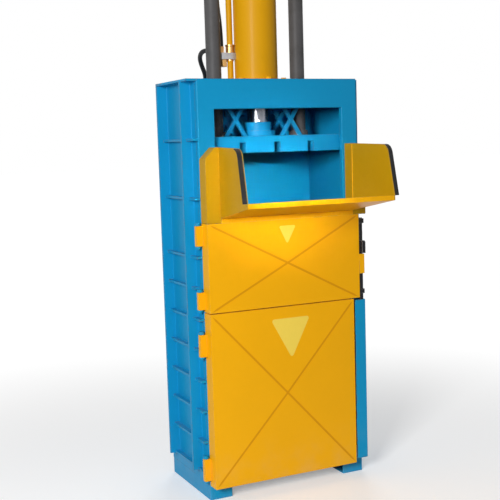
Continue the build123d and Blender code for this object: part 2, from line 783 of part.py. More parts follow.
def lock_guide(z, left, right, back):
    """Block bored square for the lock bar."""
    guide = slab((left, right), (DOOR_FACE + COVER_WALL, back), (z, z + GUIDE_HEIGHT))
    bar_x = (BAR_LEFT - GUIDE_SLIDE, BAR_LEFT + BAR_WIDTH + GUIDE_SLIDE)
    front = BAR_FACE - GUIDE_SLIDE
    return guide - slab(bar_x, (front, BAR_FACE + BAR_DEPTH + GUIDE_SLIDE), (z, z + GUIDE_HEIGHT))


def lock_guides():
    """Two blocks inside the cover and two on the post above it."""
    inside = COVER_RIGHT - COVER_WALL
    open_left = BAR_LEFT - GUIDE_SIDE
    guides = [lock_guide(z, COVER_LEFT + COVER_WALL, inside, FRONT - COVER_WALL) for z in COVER_GUIDES]
    guides += [lock_guide(z, open_left, COVER_RIGHT, FRONT) for z in OPEN_GUIDES]
    return guides


def lock_bar():
    return slab((BAR_LEFT, BAR_LEFT + BAR_WIDTH), (BAR_FACE, BAR_FACE + BAR_DEPTH), (BAR_BOTTOM, BAR_TOP))


def lower_hook(tab_z):
    """Arm from the bar with a finger that drops in front of the lower door's tab."""
    low = tab_z + TAB_HEIGHT + HOOK_CLEAR
    back = TAB_FACE - FINGER_GAP
    front = back - FINGER_THICK
    return slab((LOWER_RIGHT + TAB_REACH / 2, BAR_LEFT), (front, back), (low, low + TAB_HEIGHT))


def mid_hook():
    """Hook over the top of the middle door's lug, its finger dropping in front."""
    low = LUG_TOP + HOOK_CLEAR
    arm = low + LOCK_TRAVEL
    top = arm + FINGER_THICK
    back = DOOR_FACE - FLANGE_HOOK_GAP
    front = back - FINGER_THICK
    slope = FINGER_THICK / 2
    outline = [(BAR_FACE, arm), (back, arm), (back, low), (front, low), (front, top - slope),
               (front + slope, top), (BAR_FACE, top)]
    return along_x(outline, (BAR_LEFT, BAR_LEFT + BAR_WIDTH))


def lock_handle():
    """Bent arm round the post's corner with an upright grip beside the body."""
    back = BAR_FACE + BAR_DEPTH
    right = BAR_LEFT + BAR_WIDTH
    near = GRIP_X - HANDLE_END
    far = GRIP_X + HANDLE_END
    depth = HANDLE_BAR_DEPTH
    outline = [(right - depth, back), (right, back), (right, BAR_FACE), (far, GRIP_Y - depth),
               (far, GRIP_Y + HANDLE_END), (near, GRIP_Y + HANDLE_END), (near, GRIP_Y - depth / 2)]
    arm = along_z(outline, (HANDLE_ARM_Z, HANDLE_ARM_Z + HANDLE_ARM_THICK))
    grip_z = (HANDLE_ARM_Z + HANDLE_ARM_THICK - GRIP_LENGTH / 2, HANDLE_ARM_Z + GRIP_LENGTH / 2)
    grip = upright(GRIP_X, GRIP_Y, grip_z, GRIP_R)
    grip = fillet(grip.edges().filter_by(GeomType.CIRCLE), GRIP_R / 3)
    return arm + grip


# Hopper

def cheek_edge(inset=0):
    """Front edge of a cheek as (y, z), from the start of its rounded top corner to the lip."""
    lean = atan2(MOUTH_TOP_Y - LIP_Y, MOUTH_TOP_Z - LIP_BOTTOM_Z - LIP_HEIGHT)
    top_slope = atan2(EAR_TOP - MOUTH_TOP_Z, DOOR_FACE - MOUTH_TOP_Y)
    start = pi / 2 + top_slope
    end = pi - lean
    turn = end - start
    back_off = CHEEK_CORNER_R * tan(turn / 2)
    centre_y = MOUTH_TOP_Y + back_off * cos(top_slope) + CHEEK_CORNER_R * sin(top_slope)
    centre_z = MOUTH_TOP_Z + back_off * sin(top_slope) - CHEEK_CORNER_R * cos(top_slope)
    radius = CHEEK_CORNER_R - inset
    points = []
    for i in range(CHEEK_CORNER_STEPS + 1):
        angle = start + turn * i / CHEEK_CORNER_STEPS
        points.append((centre_y + radius * cos(angle), centre_z + radius * sin(angle)))
    points.append((LIP_Y + inset * cos(lean), LIP_BOTTOM_Z + LIP_HEIGHT - inset * sin(lean)))
    return points


def hopper_ear(side):
    """Square tube standing on the door, its outer top corner cut off."""
    outer = side * HALF
    inner = side * EAR_INNER
    post = along_y([(inner, MID_TOP), (inner, EAR_TOP), (outer - side * EAR_CHAMFER, EAR_TOP),
                    (outer, EAR_TOP - EAR_CHAMFER), (outer, MID_TOP)], (DOOR_FACE, DOOR_REAR))
    wall = EAR_TUBE_WALL
    x = sorted((inner + side * wall, outer - side * wall))
    bore_top = EAR_TOP - EAR_CHAMFER - wall
    return post - slab(x, (DOOR_FACE + wall, DOOR_REAR - wall), (MID_TOP, bore_top))


def side_sheet(side, outline, out=(0, SHEET)):
    """Prism at the side of the hopper between two depths, splayed outwards towards the front."""
    splay = (CHEEK_FRONT_X - EAR_INNER) / (LIP_Y - DOOR_FACE)

    def place(y, z, depth):
        return (side * (EAR_INNER + splay * (y - DOOR_FACE) + depth), y, z)

    inner = [place(y, z, out[0]) for y, z in outline]
    outer = [place(y, z, out[1]) for y, z in outline]
    faces = [Face(Wire.make_polygon(inner, close=True)), Face(Wire.make_polygon(outer, close=True))]
    count = len(outline)
    for i in range(count):
        j = (i + 1) % count
        faces.append(Face(Wire.make_polygon([inner[i], inner[j], outer[j], outer[i]], close=True)))
    return Solid(Shell(faces))


def hopper_cheek(side):
    """Cheek sheet from the ear to the mouth, its top corner rounded."""
    foot = MID_TOP + BASE_FLANGE + SHEET
    return side_sheet(side, [(DOOR_FACE, foot), (DOOR_FACE, EAR_TOP), *cheek_edge(), (LIP_Y, LIP_BOTTOM_Z)])


def hopper_floor():
    """Sloping floor sheet between the cheeks, with a flange at the door and an upstand at the lip."""
    rear = DOOR_FACE
    run = LIP_Y - rear
    bend = MID_TOP + BASE_FLANGE
    outline = [(rear, MID_TOP), (rear + SHEET, MID_TOP), (rear + SHEET, bend), (rear, bend + SHEET),
               (LIP_Y + SHEET, LIP_BOTTOM_Z + SHEET), (LIP_Y + SHEET, LIP_BOTTOM_Z + LIP_HEIGHT),
               (LIP_Y, LIP_BOTTOM_Z + LIP_HEIGHT), (LIP_Y, LIP_BOTTOM_Z), (rear, bend)]
    sheet = along_x(outline, (-HALF, HALF))
    plan = [(-EAR_INNER, rear + SHEET), (EAR_INNER, rear + SHEET), (EAR_INNER, rear),
            (CHEEK_FRONT_X, rear + run), (-CHEEK_FRONT_X, rear + run), (-EAR_INNER, rear)]
    return sheet & along_z(plan, (MID_TOP - 1, MOUTH_TOP_Z))


def edge_strip(side):
    """Rubber strip standing outwards along the cheek's front edge and round its top corner."""
    return side_sheet(side, cheek_edge() + cheek_edge(STRIP_THICK)[::-1], (SHEET, CHEEK_FLANGE))


# Pipe, blocks and hoses

def port_block(z):
    """Block welded to the barrel, hollowed to sit on its curve, with rounded outer edges."""
    block = slab((BLOCK_LEFT, BLOCK_INNER), (BLOCK_FRONT, BLOCK_BACK), z)
    block = fillet(block.edges().filter_by(Axis.Z).group_by(Axis.X)[0], STRAP_CHANNEL_WALL)
    return block - upright(0, 0, z, BARREL_R)


def pressure_pipes():
    """Rigid pipe between the two blocks, and the stub from the lower block to the flange."""
    top = LOW_BLOCK_Z + LOW_BLOCK_HEIGHT
    long_pipe = upright(PIPE_X, PIPE_Y, (top, HIGH_BLOCK_Z), PIPE_R)
    stub = upright(PIPE_X, PIPE_Y, (FLANGE_TOP, LOW_BLOCK_Z), PIPE_R)
    return [long_pipe, stub]


def union_nuts():
    """Nuts and rings on the pipes, nuts on the hose ends and the plug under the lower block."""
    top = LOW_BLOCK_Z + LOW_BLOCK_HEIGHT
    bore = PIPE_R + SPIGOT_CLEAR
    low = LOW_BLOCK_Z
    high = HIGH_BLOCK_Z
    rings = [ring(PIPE_X, PIPE_Y, (top, top + NUT_HEIGHT), NUT_R, bore),
             ring(PIPE_X, PIPE_Y, (top + NUT_HEIGHT, top + NUT_HEIGHT + SEAL_HEIGHT), RING_R, bore),
             ring(PIPE_X, PIPE_Y, (high - NUT_HEIGHT, high), NUT_R, bore),
             ring(PIPE_X, PIPE_Y, (low - SEAL_HEIGHT, low), bore + WASHER_WALL, bore),
             hexagon(PLUG_X, PIPE_Y, (low - PLUG_LENGTH, low), 2 * PLUG_R)]
    start, end = UPPER_ROUTE[0], UPPER_ROUTE[-1]
    rings.append(hexagon(start[0], start[1], (top, start[2]), 2 * FERRULE_R))
    rings.append(hexagon(end[0], end[1], (end[2], high), 2 * FERRULE_R))
    return rings


def hose_fitting():
    """Fitting on the lower block's rear face that the lower hose leaves from."""
    start = Vector(*LOWER_ROUTE[0])
    away = (Vector(*LOWER_ROUTE[1]) - start).normalized()
    inner = start - away * ((start.Y - BLOCK_BACK + FITTING_R) / away.Y)
    body = between(inner, start, FITTING_R)
    z = (LOW_BLOCK_Z, LOW_BLOCK_Z + LOW_BLOCK_HEIGHT)
    block = slab((BLOCK_LEFT, BLOCK_INNER), (BLOCK_FRONT, BLOCK_BACK), z)
    return body - block


def hose(route):
    """Hose along straight runs joined by tangent arcs, each as large as its runs allow."""
    points = [Vector(*point) for point in route]
    radii = []
    for before, here, after in zip(points, points[1:], points[2:]):
        turn = (here - before).get_angle(after - here)
        shorter = min((here - before).length, (after - here).length)
        radii.append(0.45 * shorter / tan(radians(turn / 2)))
    path = FilletPolyline(*points, radius=radii)
    tube = sweep(Plane(origin=path @ 0, z_dir=path % 0) * Circle(HOSE_R), path=path)
    print("hose length", round(path.length), "radii", [round(radius) for radius in radii],
          "volume ratio", round(tube.volume / (path.length * pi * HOSE_R ** 2), 4))
    return tube


# Power pack

def tank_shelf():
    """Shelf on the rear wall, stood on three gussets, with an apron between the rear channels."""
    x = (SHELF_LEFT, SHELF_RIGHT)
    plate = slab(x, (BACK, SHELF_BACK), (SHELF_Z - SHELF_PLATE, SHELF_Z))
    low = SHELF_Z - SHELF_PLATE - GUSSET_DROP
    beam_low = REAR_BEAM_TOPS[3] - REAR_BEAM_HEIGHT
    top = SHELF_Z - SHELF_PLATE
    notch = BACK + REAR_BEAM_PROUD
    outline = [(BACK, REAR_BEAM_TOPS[3]), (notch, REAR_BEAM_TOPS[3]), (notch, beam_low), (BACK, beam_low),
               (BACK, low), (notch, low), (SHELF_BACK, top - SHELF_PLATE), (SHELF_BACK, top), (BACK, top)]
    half = SHELF_PLATE / 2
    return [plate] + [along_x(outline, (gx - half, gx + half)) for gx in GUSSET_X]


def tank_outline(inset, z):
    x = (SHELF_LEFT + inset, SHELF_RIGHT - inset)
    y = (TANK_FRONT + inset - TANK_INSET, SHELF_BACK - inset)
    body = slab(x, y, z)
    return fillet(body.edges().filter_by(Axis.Z), TANK_CORNER_R)


def finned_motor():
    """Motor body with cooling fins down its sides."""
    z = (PACK_TOP + BELL_HEIGHT, PACK_TOP + BELL_HEIGHT + MOTOR_LENGTH)
    core = Circle(MOTOR_R)
    fin = Pos(MOTOR_R, 0) * Rectangle(2 * FIN_DEPTH, FIN_THICK)
    section = core + [Rot(0, 0, 360 / FIN_COUNT * i) * fin for i in range(FIN_COUNT)]
    return Pos(MOTOR_X, MOTOR_Y, z[0]) * extrude(section, amount=MOTOR_LENGTH)


def motor_bell():
    """Waisted bell housing between the tank and the motor."""
    z = PACK_TOP
    top = PACK_TOP + BELL_HEIGHT
    waist = BELL_R - BELL_WAIST
    flange = z + BELL_FLANGE
    outline = [(0, z), (BELL_R, z), (BELL_R, flange), (waist, flange + BELL_FLANGE),
               (waist, top - 2 * BELL_FLANGE), (MOTOR_R, top - BELL_RIM), (MOTOR_R, top), (0, top)]
    bell = revolve(Plane.XZ * Polygon(*outline, align=None), axis=Axis.Z)
    return Pos(MOTOR_X, MOTOR_Y, 0) * bell


def fan_cowl():
    """Pressed cowl over the motor's fan, domed at the rim, with a ring of air slots."""
    z = PACK_TOP + BELL_HEIGHT + MOTOR_LENGTH
    radius = MOTOR_R + FIN_DEPTH
    cowl = upright(MOTOR_X, MOTOR_Y, (z, z + COWL_HEIGHT), radius)
    cowl = fillet(cowl.edges().group_by(Axis.Z)[-1], COWL_RIM_R)
    slot = Pos(radius / 2, 0) * SlotOverall(radius / 2, AIR_SLOT_WIDTH)
    turned = [Rot(0, 0, 360 / AIR_SLOTS * i) * slot for i in range(AIR_SLOTS)]
    slots = [extrude(outline, amount=-AIR_SLOT_DEPTH) for outline in turned]
    return cowl - [Pos(MOTOR_X, MOTOR_Y, z + COWL_HEIGHT) * slot for slot in slots]


def valve_block():
    """Valve body on the tank lid with a solenoid on each end and the hose nut on top."""
    x = (VALVE_X - VALVE_WIDTH / 2, VALVE_X + VALVE_WIDTH / 2)
    y = (VALVE_Y - VALVE_DEPTH / 2, VALVE_Y + VALVE_DEPTH / 2)
    block = slab(x, y, (PACK_TOP, PACK_TOP + VALVE_HEIGHT))
    block = fillet(block.edges().filter_by(Axis.Z), STRAP_CHANNEL_WALL)
    centre_z = PACK_TOP + VALVE_HEIGHT * 0.6
    for start, direction in ((x[1], 1), (x[0], -1)):
        tip = start + direction * SOLENOID_LENGTH
        block += between((start, VALVE_Y, centre_z), (tip, VALVE_Y, centre_z), SOLENOID_R)
    end = LOWER_ROUTE[-1]
    return block + hexagon(end[0], end[1], (PACK_TOP + VALVE_HEIGHT, end[2]), 2 * FERRULE_R)


def filler_cap():
    """Knurled breather cap, drawn as a scalloped knob."""
    z = PACK_TOP
    neck = upright(CAP_X, CAP_Y, (z, z + FILLER_NECK), FILLER_R - SCALLOP_R)
    scallop = Pos(FILLER_R + SCALLOP_R / 2, 0) * Circle(SCALLOP_R)
    knob = Circle(FILLER_R) - [Rot(0, 0, 360 / SCALLOP_COUNT * i) * scallop for i in range(SCALLOP_COUNT)]
    return neck + Pos(CAP_X, CAP_Y, z + FILLER_NECK) * extrude(knob, amount=FILLER_HEIGHT - FILLER_NECK)


# Control box

def control_box():
    """Box on the stiffeners' edges, bored at the front for the two button stems."""
    x = (HALF + RIB_PROUD, HALF + RIB_PROUD + BOX_DEPTH)
    box = slab(x, (BOX_FRONT, BOX_BACK), (BOX_BOTTOM, BOX_TOP))
    box = fillet(box.edges().filter_by(Axis.Y), BOX_CORNER_R)
    centre = (x[0] + x[1]) / 2
    for z, collar in ((STOP_Z, STOP_HEAD_R), (START_Z, START_HEAD_R)):
        box += between((centre, BOX_FRONT, z), (centre, BOX_FRONT - COLLAR_FACE, z), collar)
        depth = BOX_FRONT + STEM_LENGTH + BUTTON_TRAVEL
        box -= between((centre, BOX_FRONT - COLLAR_FACE, z), (centre, depth, z), STEM_R + RUNNING)
    return box


def control_cover():
    """Sheet cover on the box's outer side."""
    x = HALF + RIB_PROUD + BOX_DEPTH
    inset = BOX_CORNER_R
    y = (BOX_FRONT + inset, BOX_BACK - inset)
    return slab((x, x + COVER_SHEET), y, (BOX_BOTTOM + inset, BOX_TOP - inset))


def push_button(z, head_r, head_length):
    """Button head on a stem that slides in the box."""
    centre = HALF + RIB_PROUD + BOX_DEPTH / 2
    seat = BOX_FRONT - COLLAR_FACE - BUTTON_TRAVEL - HINGE_END_GAP
    stem = between((centre, seat, z), (centre, BOX_FRONT + STEM_LENGTH - BUTTON_TRAVEL, z), STEM_R)
    head = between((centre, seat, z), (centre, seat - head_length, z), head_r)
    head = fillet(head.edges().filter_by(GeomType.CIRCLE).group_by(Axis.Y)[0], head_length / 3)
    return stem + head


def main():
    os.makedirs("parts", exist_ok=True)

    save("skids", skid(-1), skid(1))
    save("cross_members", cross_member(-CROSS_Y), cross_member(CROSS_Y))
    save("chamber_floor", chamber_floor())
    save("front_frame", front_frame())
    save("side_walls", side_wall(-1), side_wall(1))
    save("rear_wall", rear_wall())
    save("left_stiffeners", *side_stiffeners(-1))
    save("right_stiffeners", *side_stiffeners(1))
    save("rear_beams", *[rear_beam(top) for top in REAR_BEAM_TOPS])
    save("top_deck", top_deck())
    save("deck_beams", deck_beam(-DECK_BEAM_Y), deck_beam(DECK_BEAM_Y))
    save("guide_bushes", guide_bush(-GUIDE_X), guide_bush(GUIDE_X))

    save("cylinder_flange", cylinder_flange())
    save("cylinder_barrel", cylinder_barrel())
    save("cylinder_gland", cylinder_gland())
    save("cylinder_cap", cylinder_cap())
    save("cylinder_bolts", *cylinder_bolts())
    save("piston_rod", upright(0, 0, (COUPLING_TOP, PISTON_BOTTOM), ROD_R))
    save("piston", upright(0, 0, (PISTON_BOTTOM, PISTON_BOTTOM + PISTON_LENGTH), BORE_R - RUNNING))
    save("rod_coupling", rod_coupling())
    save("guide_rods", guide_rod(-GUIDE_X), guide_rod(GUIDE_X))
    save("platen_sole", platen_sole())
    save("platen_rails", *platen_rails())
    save("platen_braces", *platen_braces())

    save("lower_door_skin", door_skin(LOWER_RIGHT, LOWER_BOTTOM, LOWER_TOP))
    tabs = [lower_tab(z) for z in TAB_BOTTOMS]
    save("lower_door_frame", *door_frame(LOWER_RIGHT, LOWER_BOTTOM, LOWER_TOP, 6), *tabs)
    save("lower_door_hinges", *[hinge_leaf(z) for z in LOWER_HINGES])
    save("mid_door_skin", door_skin(MID_RIGHT, MID_BOTTOM, MID_TOP))
    save("mid_door_frame", *door_frame(MID_RIGHT, MID_BOTTOM, MID_TOP, 3))
    save("mid_door_lug", mid_lug())
    save("mid_door_hinges", *[hinge_leaf(z) for z in MID_HINGES])
    save("hinge_ears", *[ear for z in LOWER_HINGES + MID_HINGES for ear in hinge_ears(z)])
    save("hinge_pins", *[hinge_pin(z) for z in LOWER_HINGES + MID_HINGES])

    save("hopper_ears", hopper_ear(-1), hopper_ear(1))
    save("hopper_cheeks", hopper_cheek(-1), hopper_cheek(1))
    save("hopper_floor", hopper_floor())
    save("hopper_edge_strips", edge_strip(-1), edge_strip(1))

    save("lock_cover", lock_cover())
    save("lock_guides", *lock_guides())
    save("lock_bar", lock_bar())
    save("lock_hooks", *[lower_hook(z) for z in TAB_BOTTOMS], mid_hook())
    save("lock_handle", lock_handle())

    save("port_blocks", port_block((LOW_BLOCK_Z, LOW_BLOCK_Z + LOW_BLOCK_HEIGHT)),
         port_block((HIGH_BLOCK_Z, HIGH_BLOCK_Z + HIGH_BLOCK_HEIGHT)))
    save("pressure_pipe", *pressure_pipes())
    save("union_nuts", *union_nuts())
    save("hose_fitting", hose_fitting())
    save("hose_lower", hose(LOWER_ROUTE))
    save("hose_upper", hose(UPPER_ROUTE))

    save("tank_shelf", *tank_shelf())
    save("oil_tank", tank_outline(TANK_INSET, (TANK_BOTTOM, LID_Z)))
    save("tank_lid", tank_outline(TANK_INSET - LID_OVERHANG, (LID_Z, PACK_TOP)))
    save("pump_motor", finned_motor())
    save("motor_bell", motor_bell())
    save("fan_cowl", fan_cowl())
    save("valve_block", valve_block())
    save("filler_cap", filler_cap())

    save("control_box", control_box())
    save("control_cover", control_cover())
    save("stop_button", push_button(STOP_Z, STOP_HEAD_R, STOP_HEAD))
    save("start_button", push_button(START_Z, START_HEAD_R, START_HEAD))


main()
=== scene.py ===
# %% [markdown]
# # An upright recycling baler
# A steel box with a press on top. The CAD parts come in as a fixed frame, and this file gives them
# paint, rolled edges, welds, hoses and light. Every length is in metres.

# %% Load the frame
import json
from math import cos, pi, radians, sin, tan

import bpy
from mathutils import Matrix, Vector


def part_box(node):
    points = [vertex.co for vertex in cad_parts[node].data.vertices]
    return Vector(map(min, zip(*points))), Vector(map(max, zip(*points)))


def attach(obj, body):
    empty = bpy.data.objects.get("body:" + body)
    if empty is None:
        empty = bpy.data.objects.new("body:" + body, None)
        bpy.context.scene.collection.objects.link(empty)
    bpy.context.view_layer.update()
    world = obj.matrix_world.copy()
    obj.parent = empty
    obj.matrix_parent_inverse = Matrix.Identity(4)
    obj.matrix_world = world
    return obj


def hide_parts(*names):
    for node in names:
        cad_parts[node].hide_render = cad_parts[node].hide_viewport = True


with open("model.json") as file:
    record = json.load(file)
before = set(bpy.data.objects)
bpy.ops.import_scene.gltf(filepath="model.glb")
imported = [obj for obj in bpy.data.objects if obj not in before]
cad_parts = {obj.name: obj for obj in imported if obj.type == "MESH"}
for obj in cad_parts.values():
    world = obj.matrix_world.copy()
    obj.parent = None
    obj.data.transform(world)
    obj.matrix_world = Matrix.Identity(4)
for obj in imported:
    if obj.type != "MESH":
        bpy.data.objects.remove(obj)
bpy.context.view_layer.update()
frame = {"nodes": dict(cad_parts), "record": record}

nodes = frame["nodes"]

# %% [markdown]
# ## Camera
# The machine was seen from its left front corner, by someone standing 5 m away. A long lens from the
# same place gives the same outlines, so the camera is turned by the three angles of a tripod head.
# Sensor and focal length are in millimetres, as cameras state them.

# %% Camera
CAMERA_PLACE = Vector((-2.048, -4.142, 1.614))
YAW, PITCH, ROLL = radians(25.63), radians(-6.33), radians(-1.72)
SENSOR_WIDTH, FOCAL_LENGTH = 36, 69.34


def camera_turn(yaw, pitch, roll):
    """Axes of a camera that is panned, tilted and then rolled."""
    ahead = Vector((sin(yaw) * cos(pitch), cos(yaw) * cos(pitch), sin(pitch)))
    level = Vector((cos(yaw), -sin(yaw), 0))
    above = level.cross(ahead)
    across = level * cos(roll) + above * sin(roll)
    upward = above * cos(roll) - level * sin(roll)
    return Matrix((across, upward, -ahead)).transposed()


lens = bpy.data.cameras.new("camera")
lens.sensor_width = SENSOR_WIDTH
lens.lens = FOCAL_LENGTH
camera = bpy.data.objects.new("camera", lens)
camera.matrix_world = Matrix.Translation(CAMERA_PLACE) @ camera_turn(YAW, PITCH, ROLL).to_4x4()
bpy.context.scene.collection.objects.link(camera)
bpy.context.scene.camera = camera
print("camera at", tuple(round(c, 3) for c in camera.location))

# %% [markdown]
# ## Studio
# A white surround lights the machine evenly. The camera and shiny metal see it as plain white, and
# the other rays take a lower level, so that a painted colour comes out about as it is written.

# %% World
scene = bpy.context.scene
scene.view_settings.view_transform = "Standard"
AMBIENT = 0.19


def seen_as_white(tree):
    """1 where the camera, a mirror or glass looks at the surround, 0 for all other light."""
    path = tree.nodes.new("ShaderNodeLightPath")
    mirror = tree.nodes.new("ShaderNodeMath")
    mirror.operation = "MAXIMUM"
    tree.links.new(path.outputs["Is Camera Ray"], mirror.inputs[0])
    tree.links.new(path.outputs["Is Glossy Ray"], mirror.inputs[1])
    glass = tree.nodes.new("ShaderNodeMath")
    glass.operation = "MAXIMUM"
    tree.links.new(mirror.outputs[0], glass.inputs[0])
    tree.links.new(path.outputs["Is Transmission Ray"], glass.inputs[1])
    return glass.outputs[0]


world = bpy.data.worlds.new("surround")
scene.world = world
world.use_nodes = True
sky = world.node_tree
sky.nodes.clear()
out = sky.nodes.new("ShaderNodeOutputWorld")
soft = sky.nodes.new("ShaderNodeBackground")
soft.inputs["Color"].default_value = (1, 1, 1, 1)
soft.inputs["Strength"].default_value = AMBIENT
white = sky.nodes.new("ShaderNodeBackground")
white.inputs["Color"].default_value = (1, 1, 1, 1)
white.inputs["Strength"].default_value = 1
choose = sky.nodes.new("ShaderNodeMixShader")
sky.links.new(seen_as_white(sky), choose.inputs[0])
sky.links.new(soft.outputs[0], choose.inputs[1])
sky.links.new(white.outputs[0], choose.inputs[2])
sky.links.new(choose.outputs[0], out.inputs["Surface"])
print("ambient level", AMBIENT)

# %% [markdown]
# ## Lamps
# The key stands on the left, halfway between the front and the side, so that both are lit, bars
# throw a shadow and round bars go dark on their right. It is low enough to reach in under the
# header, where the press head hangs. A small gridded panel sends a narrow beam over the hopper into
# the chamber's depth, which the key can't reach. Three weak panels lift the rest. Each lamp has its
# place, its aim, its side, its power in watts and the width of its beam in degrees.

# %% Lamps
LAMPS = {
    "key": ((-3.6, -3.8, 2.4), (0, 0, 1.5), 1.3, 258, 180),
    "chamber": ((-1.3, -4.7, 2.2), (0.05, 0.1, 1.37), 0.3, 0.95, 9),
    "fill": ((3.8, -2.6, 1.8), (0, 0, 1.3), 2.2, 10, 180),
    "top": ((0.3, 1.2, 5.4), (0, 0, 1.8), 2.0, 30, 180),
    "back": ((2.6, 4.6, 3.0), (0, 0, 1.4), 2.0, 75, 180),
}


def soft_panel(name, place, target, side, power, beam):
    """Square lamp at one place, turned to another, with a beam width in degrees."""
    data = bpy.data.lights.new(name, "AREA")
    data.shape = "SQUARE"
    data.size = side
    data.energy = power
    data.spread = radians(beam)
    lamp = bpy.data.objects.new(name, data)
    aim = (Vector(target) - Vector(place)).to_track_quat("-Z", "Y")
    lamp.matrix_world = Matrix.Translation(place) @ aim.to_matrix().to_4x4()
    scene.collection.objects.link(lamp)


for lamp_name, lamp in LAMPS.items():
    soft_panel(lamp_name, *lamp)
print(len(LAMPS), "lamps")

# %% [markdown]
# ## Mesh helpers
# New pieces are built from points and faces, which keeps each one small and exact.
# `solid` takes points and faces and makes the piece ride on a body, so that it moves with it.
# `rolled_edge` then rounds the corners, as folding and grinding leave them.

# %% Mesh helpers
SAME_CORNER, NORMAL_WEIGHT = 0.00005, 60


def solid(name, points, faces, body, material):
    """Piece from points and faces that rides on a body."""
    mesh = bpy.data.meshes.new(name)
    mesh.from_pydata([tuple(point) for point in points], [], faces)
    mesh.validate()
    mesh.update()
    mesh.shade_smooth()
    piece = bpy.data.objects.new(name, mesh)
    scene.collection.objects.link(piece)
    mesh.materials.append(material)
    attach(piece, body)
    return piece


def rolled_edge(piece, width, segments=3, angle=35):
    """Rounds the piece's corners as folding and grinding leave them."""
    joined = piece.modifiers.new("join corners", "WELD")
    joined.merge_threshold = SAME_CORNER
    bevel = piece.modifiers.new("rolled edge", "BEVEL")
    bevel.width = width
    bevel.segments = segments
    bevel.limit_method = "ANGLE"
    bevel.angle_limit = radians(angle)
    bevel.use_clamp_overlap = True
    even = piece.modifiers.new("even shading", "WEIGHTED_NORMAL")
    even.weight = NORMAL_WEIGHT
    even.keep_sharp = False
    return piece


print("helpers ready")

# %% [markdown]
# ## Effect: worn edges
# Paint goes first where corners are knocked. The Bevel node gives the normal that a rounded corner
# would have, and where it turns away from the real normal there is an edge. Noise breaks that line
# up, because a machine is bumped here and there and not all along.

# %% Group: worn edges
def new_group(name, inputs, outputs):
    """Empty shader group with named sockets."""
    group = bpy.data.node_groups.new(name, "ShaderNodeTree")
    for label, kind, value in inputs:
        socket = group.interface.new_socket(label, in_out="INPUT", socket_type=kind)
        socket.default_value = value
    for label, kind in outputs:
        group.interface.new_socket(label, in_out="OUTPUT", socket_type=kind)
    return group, group.nodes.new("NodeGroupInput"), group.nodes.new("NodeGroupOutput")


def math_node(tree, operation, first, second, clamp=False):
    """Math node whose inputs are sockets or numbers."""
    node = tree.nodes.new("ShaderNodeMath")
    node.operation = operation
    node.use_clamp = clamp
    for socket, value in zip(node.inputs, (first, second)):
        if isinstance(value, (int, float)):
            socket.default_value = value
        else:
            tree.links.new(value, socket)
    return node.outputs[0]


def noise_node(tree, where, scale, detail=3.0, roughness=0.6):
    """Noise over a position socket; the scale is a socket or a number."""
    node = tree.nodes.new("ShaderNodeTexNoise")
    node.inputs["Detail"].default_value = detail
    node.inputs["Roughness"].default_value = roughness
    tree.links.new(where, node.inputs["Vector"])
    if isinstance(scale, (int, float)):
        node.inputs["Scale"].default_value = scale
    else:
        tree.links.new(scale, node.inputs["Scale"])
    return node.outputs["Fac"]


def ramp_node(tree, value, low, high):
    """0 below low, 1 above high, smooth between."""
    node = tree.nodes.new("ShaderNodeMapRange")
    node.interpolation_type = "SMOOTHSTEP"
    node.inputs["From Min"].default_value = low
    node.inputs["From Max"].default_value = high
    tree.links.new(value, node.inputs["Value"])
    return node.outputs["Result"]


FLOAT, COLOUR = "NodeSocketFloat", "NodeSocketColor"
edge_wear, wear_in, wear_out = new_group(
    "edge_wear", [("Width", FLOAT, 0.004), ("Amount", FLOAT, 0.5), ("Patch Size", FLOAT, 14.0)],
    [("Mask", FLOAT)])
place = edge_wear.nodes.new("ShaderNodeNewGeometry")
corner = edge_wear.nodes.new("ShaderNodeBevel")
corner.samples = 6
edge_wear.links.new(wear_in.outputs["Width"], corner.inputs["Radius"])
turn = edge_wear.nodes.new("ShaderNodeVectorMath")
turn.operation = "DOT_PRODUCT"
edge_wear.links.new(corner.outputs["Normal"], turn.inputs[0])
edge_wear.links.new(place.outputs["True Normal"], turn.inputs[1])
EDGE_FROM, EDGE_TO = 0.02, 0.2
GONE_FROM, GONE_TO, AMOUNT_SHARE = 0.56, 0.68, 0.35
bent = math_node(edge_wear, "SUBTRACT", 1.0, turn.outputs["Value"])
line = ramp_node(edge_wear, bent, EDGE_FROM, EDGE_TO)
patches = noise_node(edge_wear, place.outputs["Position"], wear_in.outputs["Patch Size"], 4.0, 0.7)
raised = math_node(edge_wear, "MULTIPLY", wear_in.outputs["Amount"], AMOUNT_SHARE)
gone = ramp_node(edge_wear, math_node(edge_wear, "ADD", patches, raised), GONE_FROM, GONE_TO)
edge_wear.links.new(math_node(edge_wear, "MULTIPLY", line, gone, True), wear_out.inputs["Mask"])
print("group", edge_wear.name)

# %% [markdown]
# ## Effect: sprayed paint
# Sprayed enamel isn't a mirror: it dries with a fine orange peel, and large panels vary a little in
# tone. One noise at millimetre size gives the peel as a height, and one at hand size the tone.

# %% Group: sprayed paint
paint_skin, skin_in, skin_out = new_group(
    "paint_skin", [("Colour", COLOUR, (0.5, 0.5, 0.5, 1)), ("Variation", FLOAT, 0.08),
                   ("Peel Scale", FLOAT, 260.0)],
    [("Colour", COLOUR), ("Height", FLOAT), ("Roughness Shift", FLOAT)])
place = paint_skin.nodes.new("ShaderNodeNewGeometry")
BROAD_SCALE, FINE_SCALE, BROAD_SHARE, ROUGHNESS_SWING = 2.3, 38.0, 0.75, 0.16
broad = noise_node(paint_skin, place.outputs["Position"], BROAD_SCALE, 2.0)
fine = noise_node(paint_skin, place.outputs["Position"], FINE_SCALE, 3.0)
broad = math_node(paint_skin, "MULTIPLY", broad, BROAD_SHARE)
fine = math_node(paint_skin, "MULTIPLY", fine, 1 - BROAD_SHARE)
swing = math_node(paint_skin, "SUBTRACT", math_node(paint_skin, "ADD", broad, fine), 0.5)
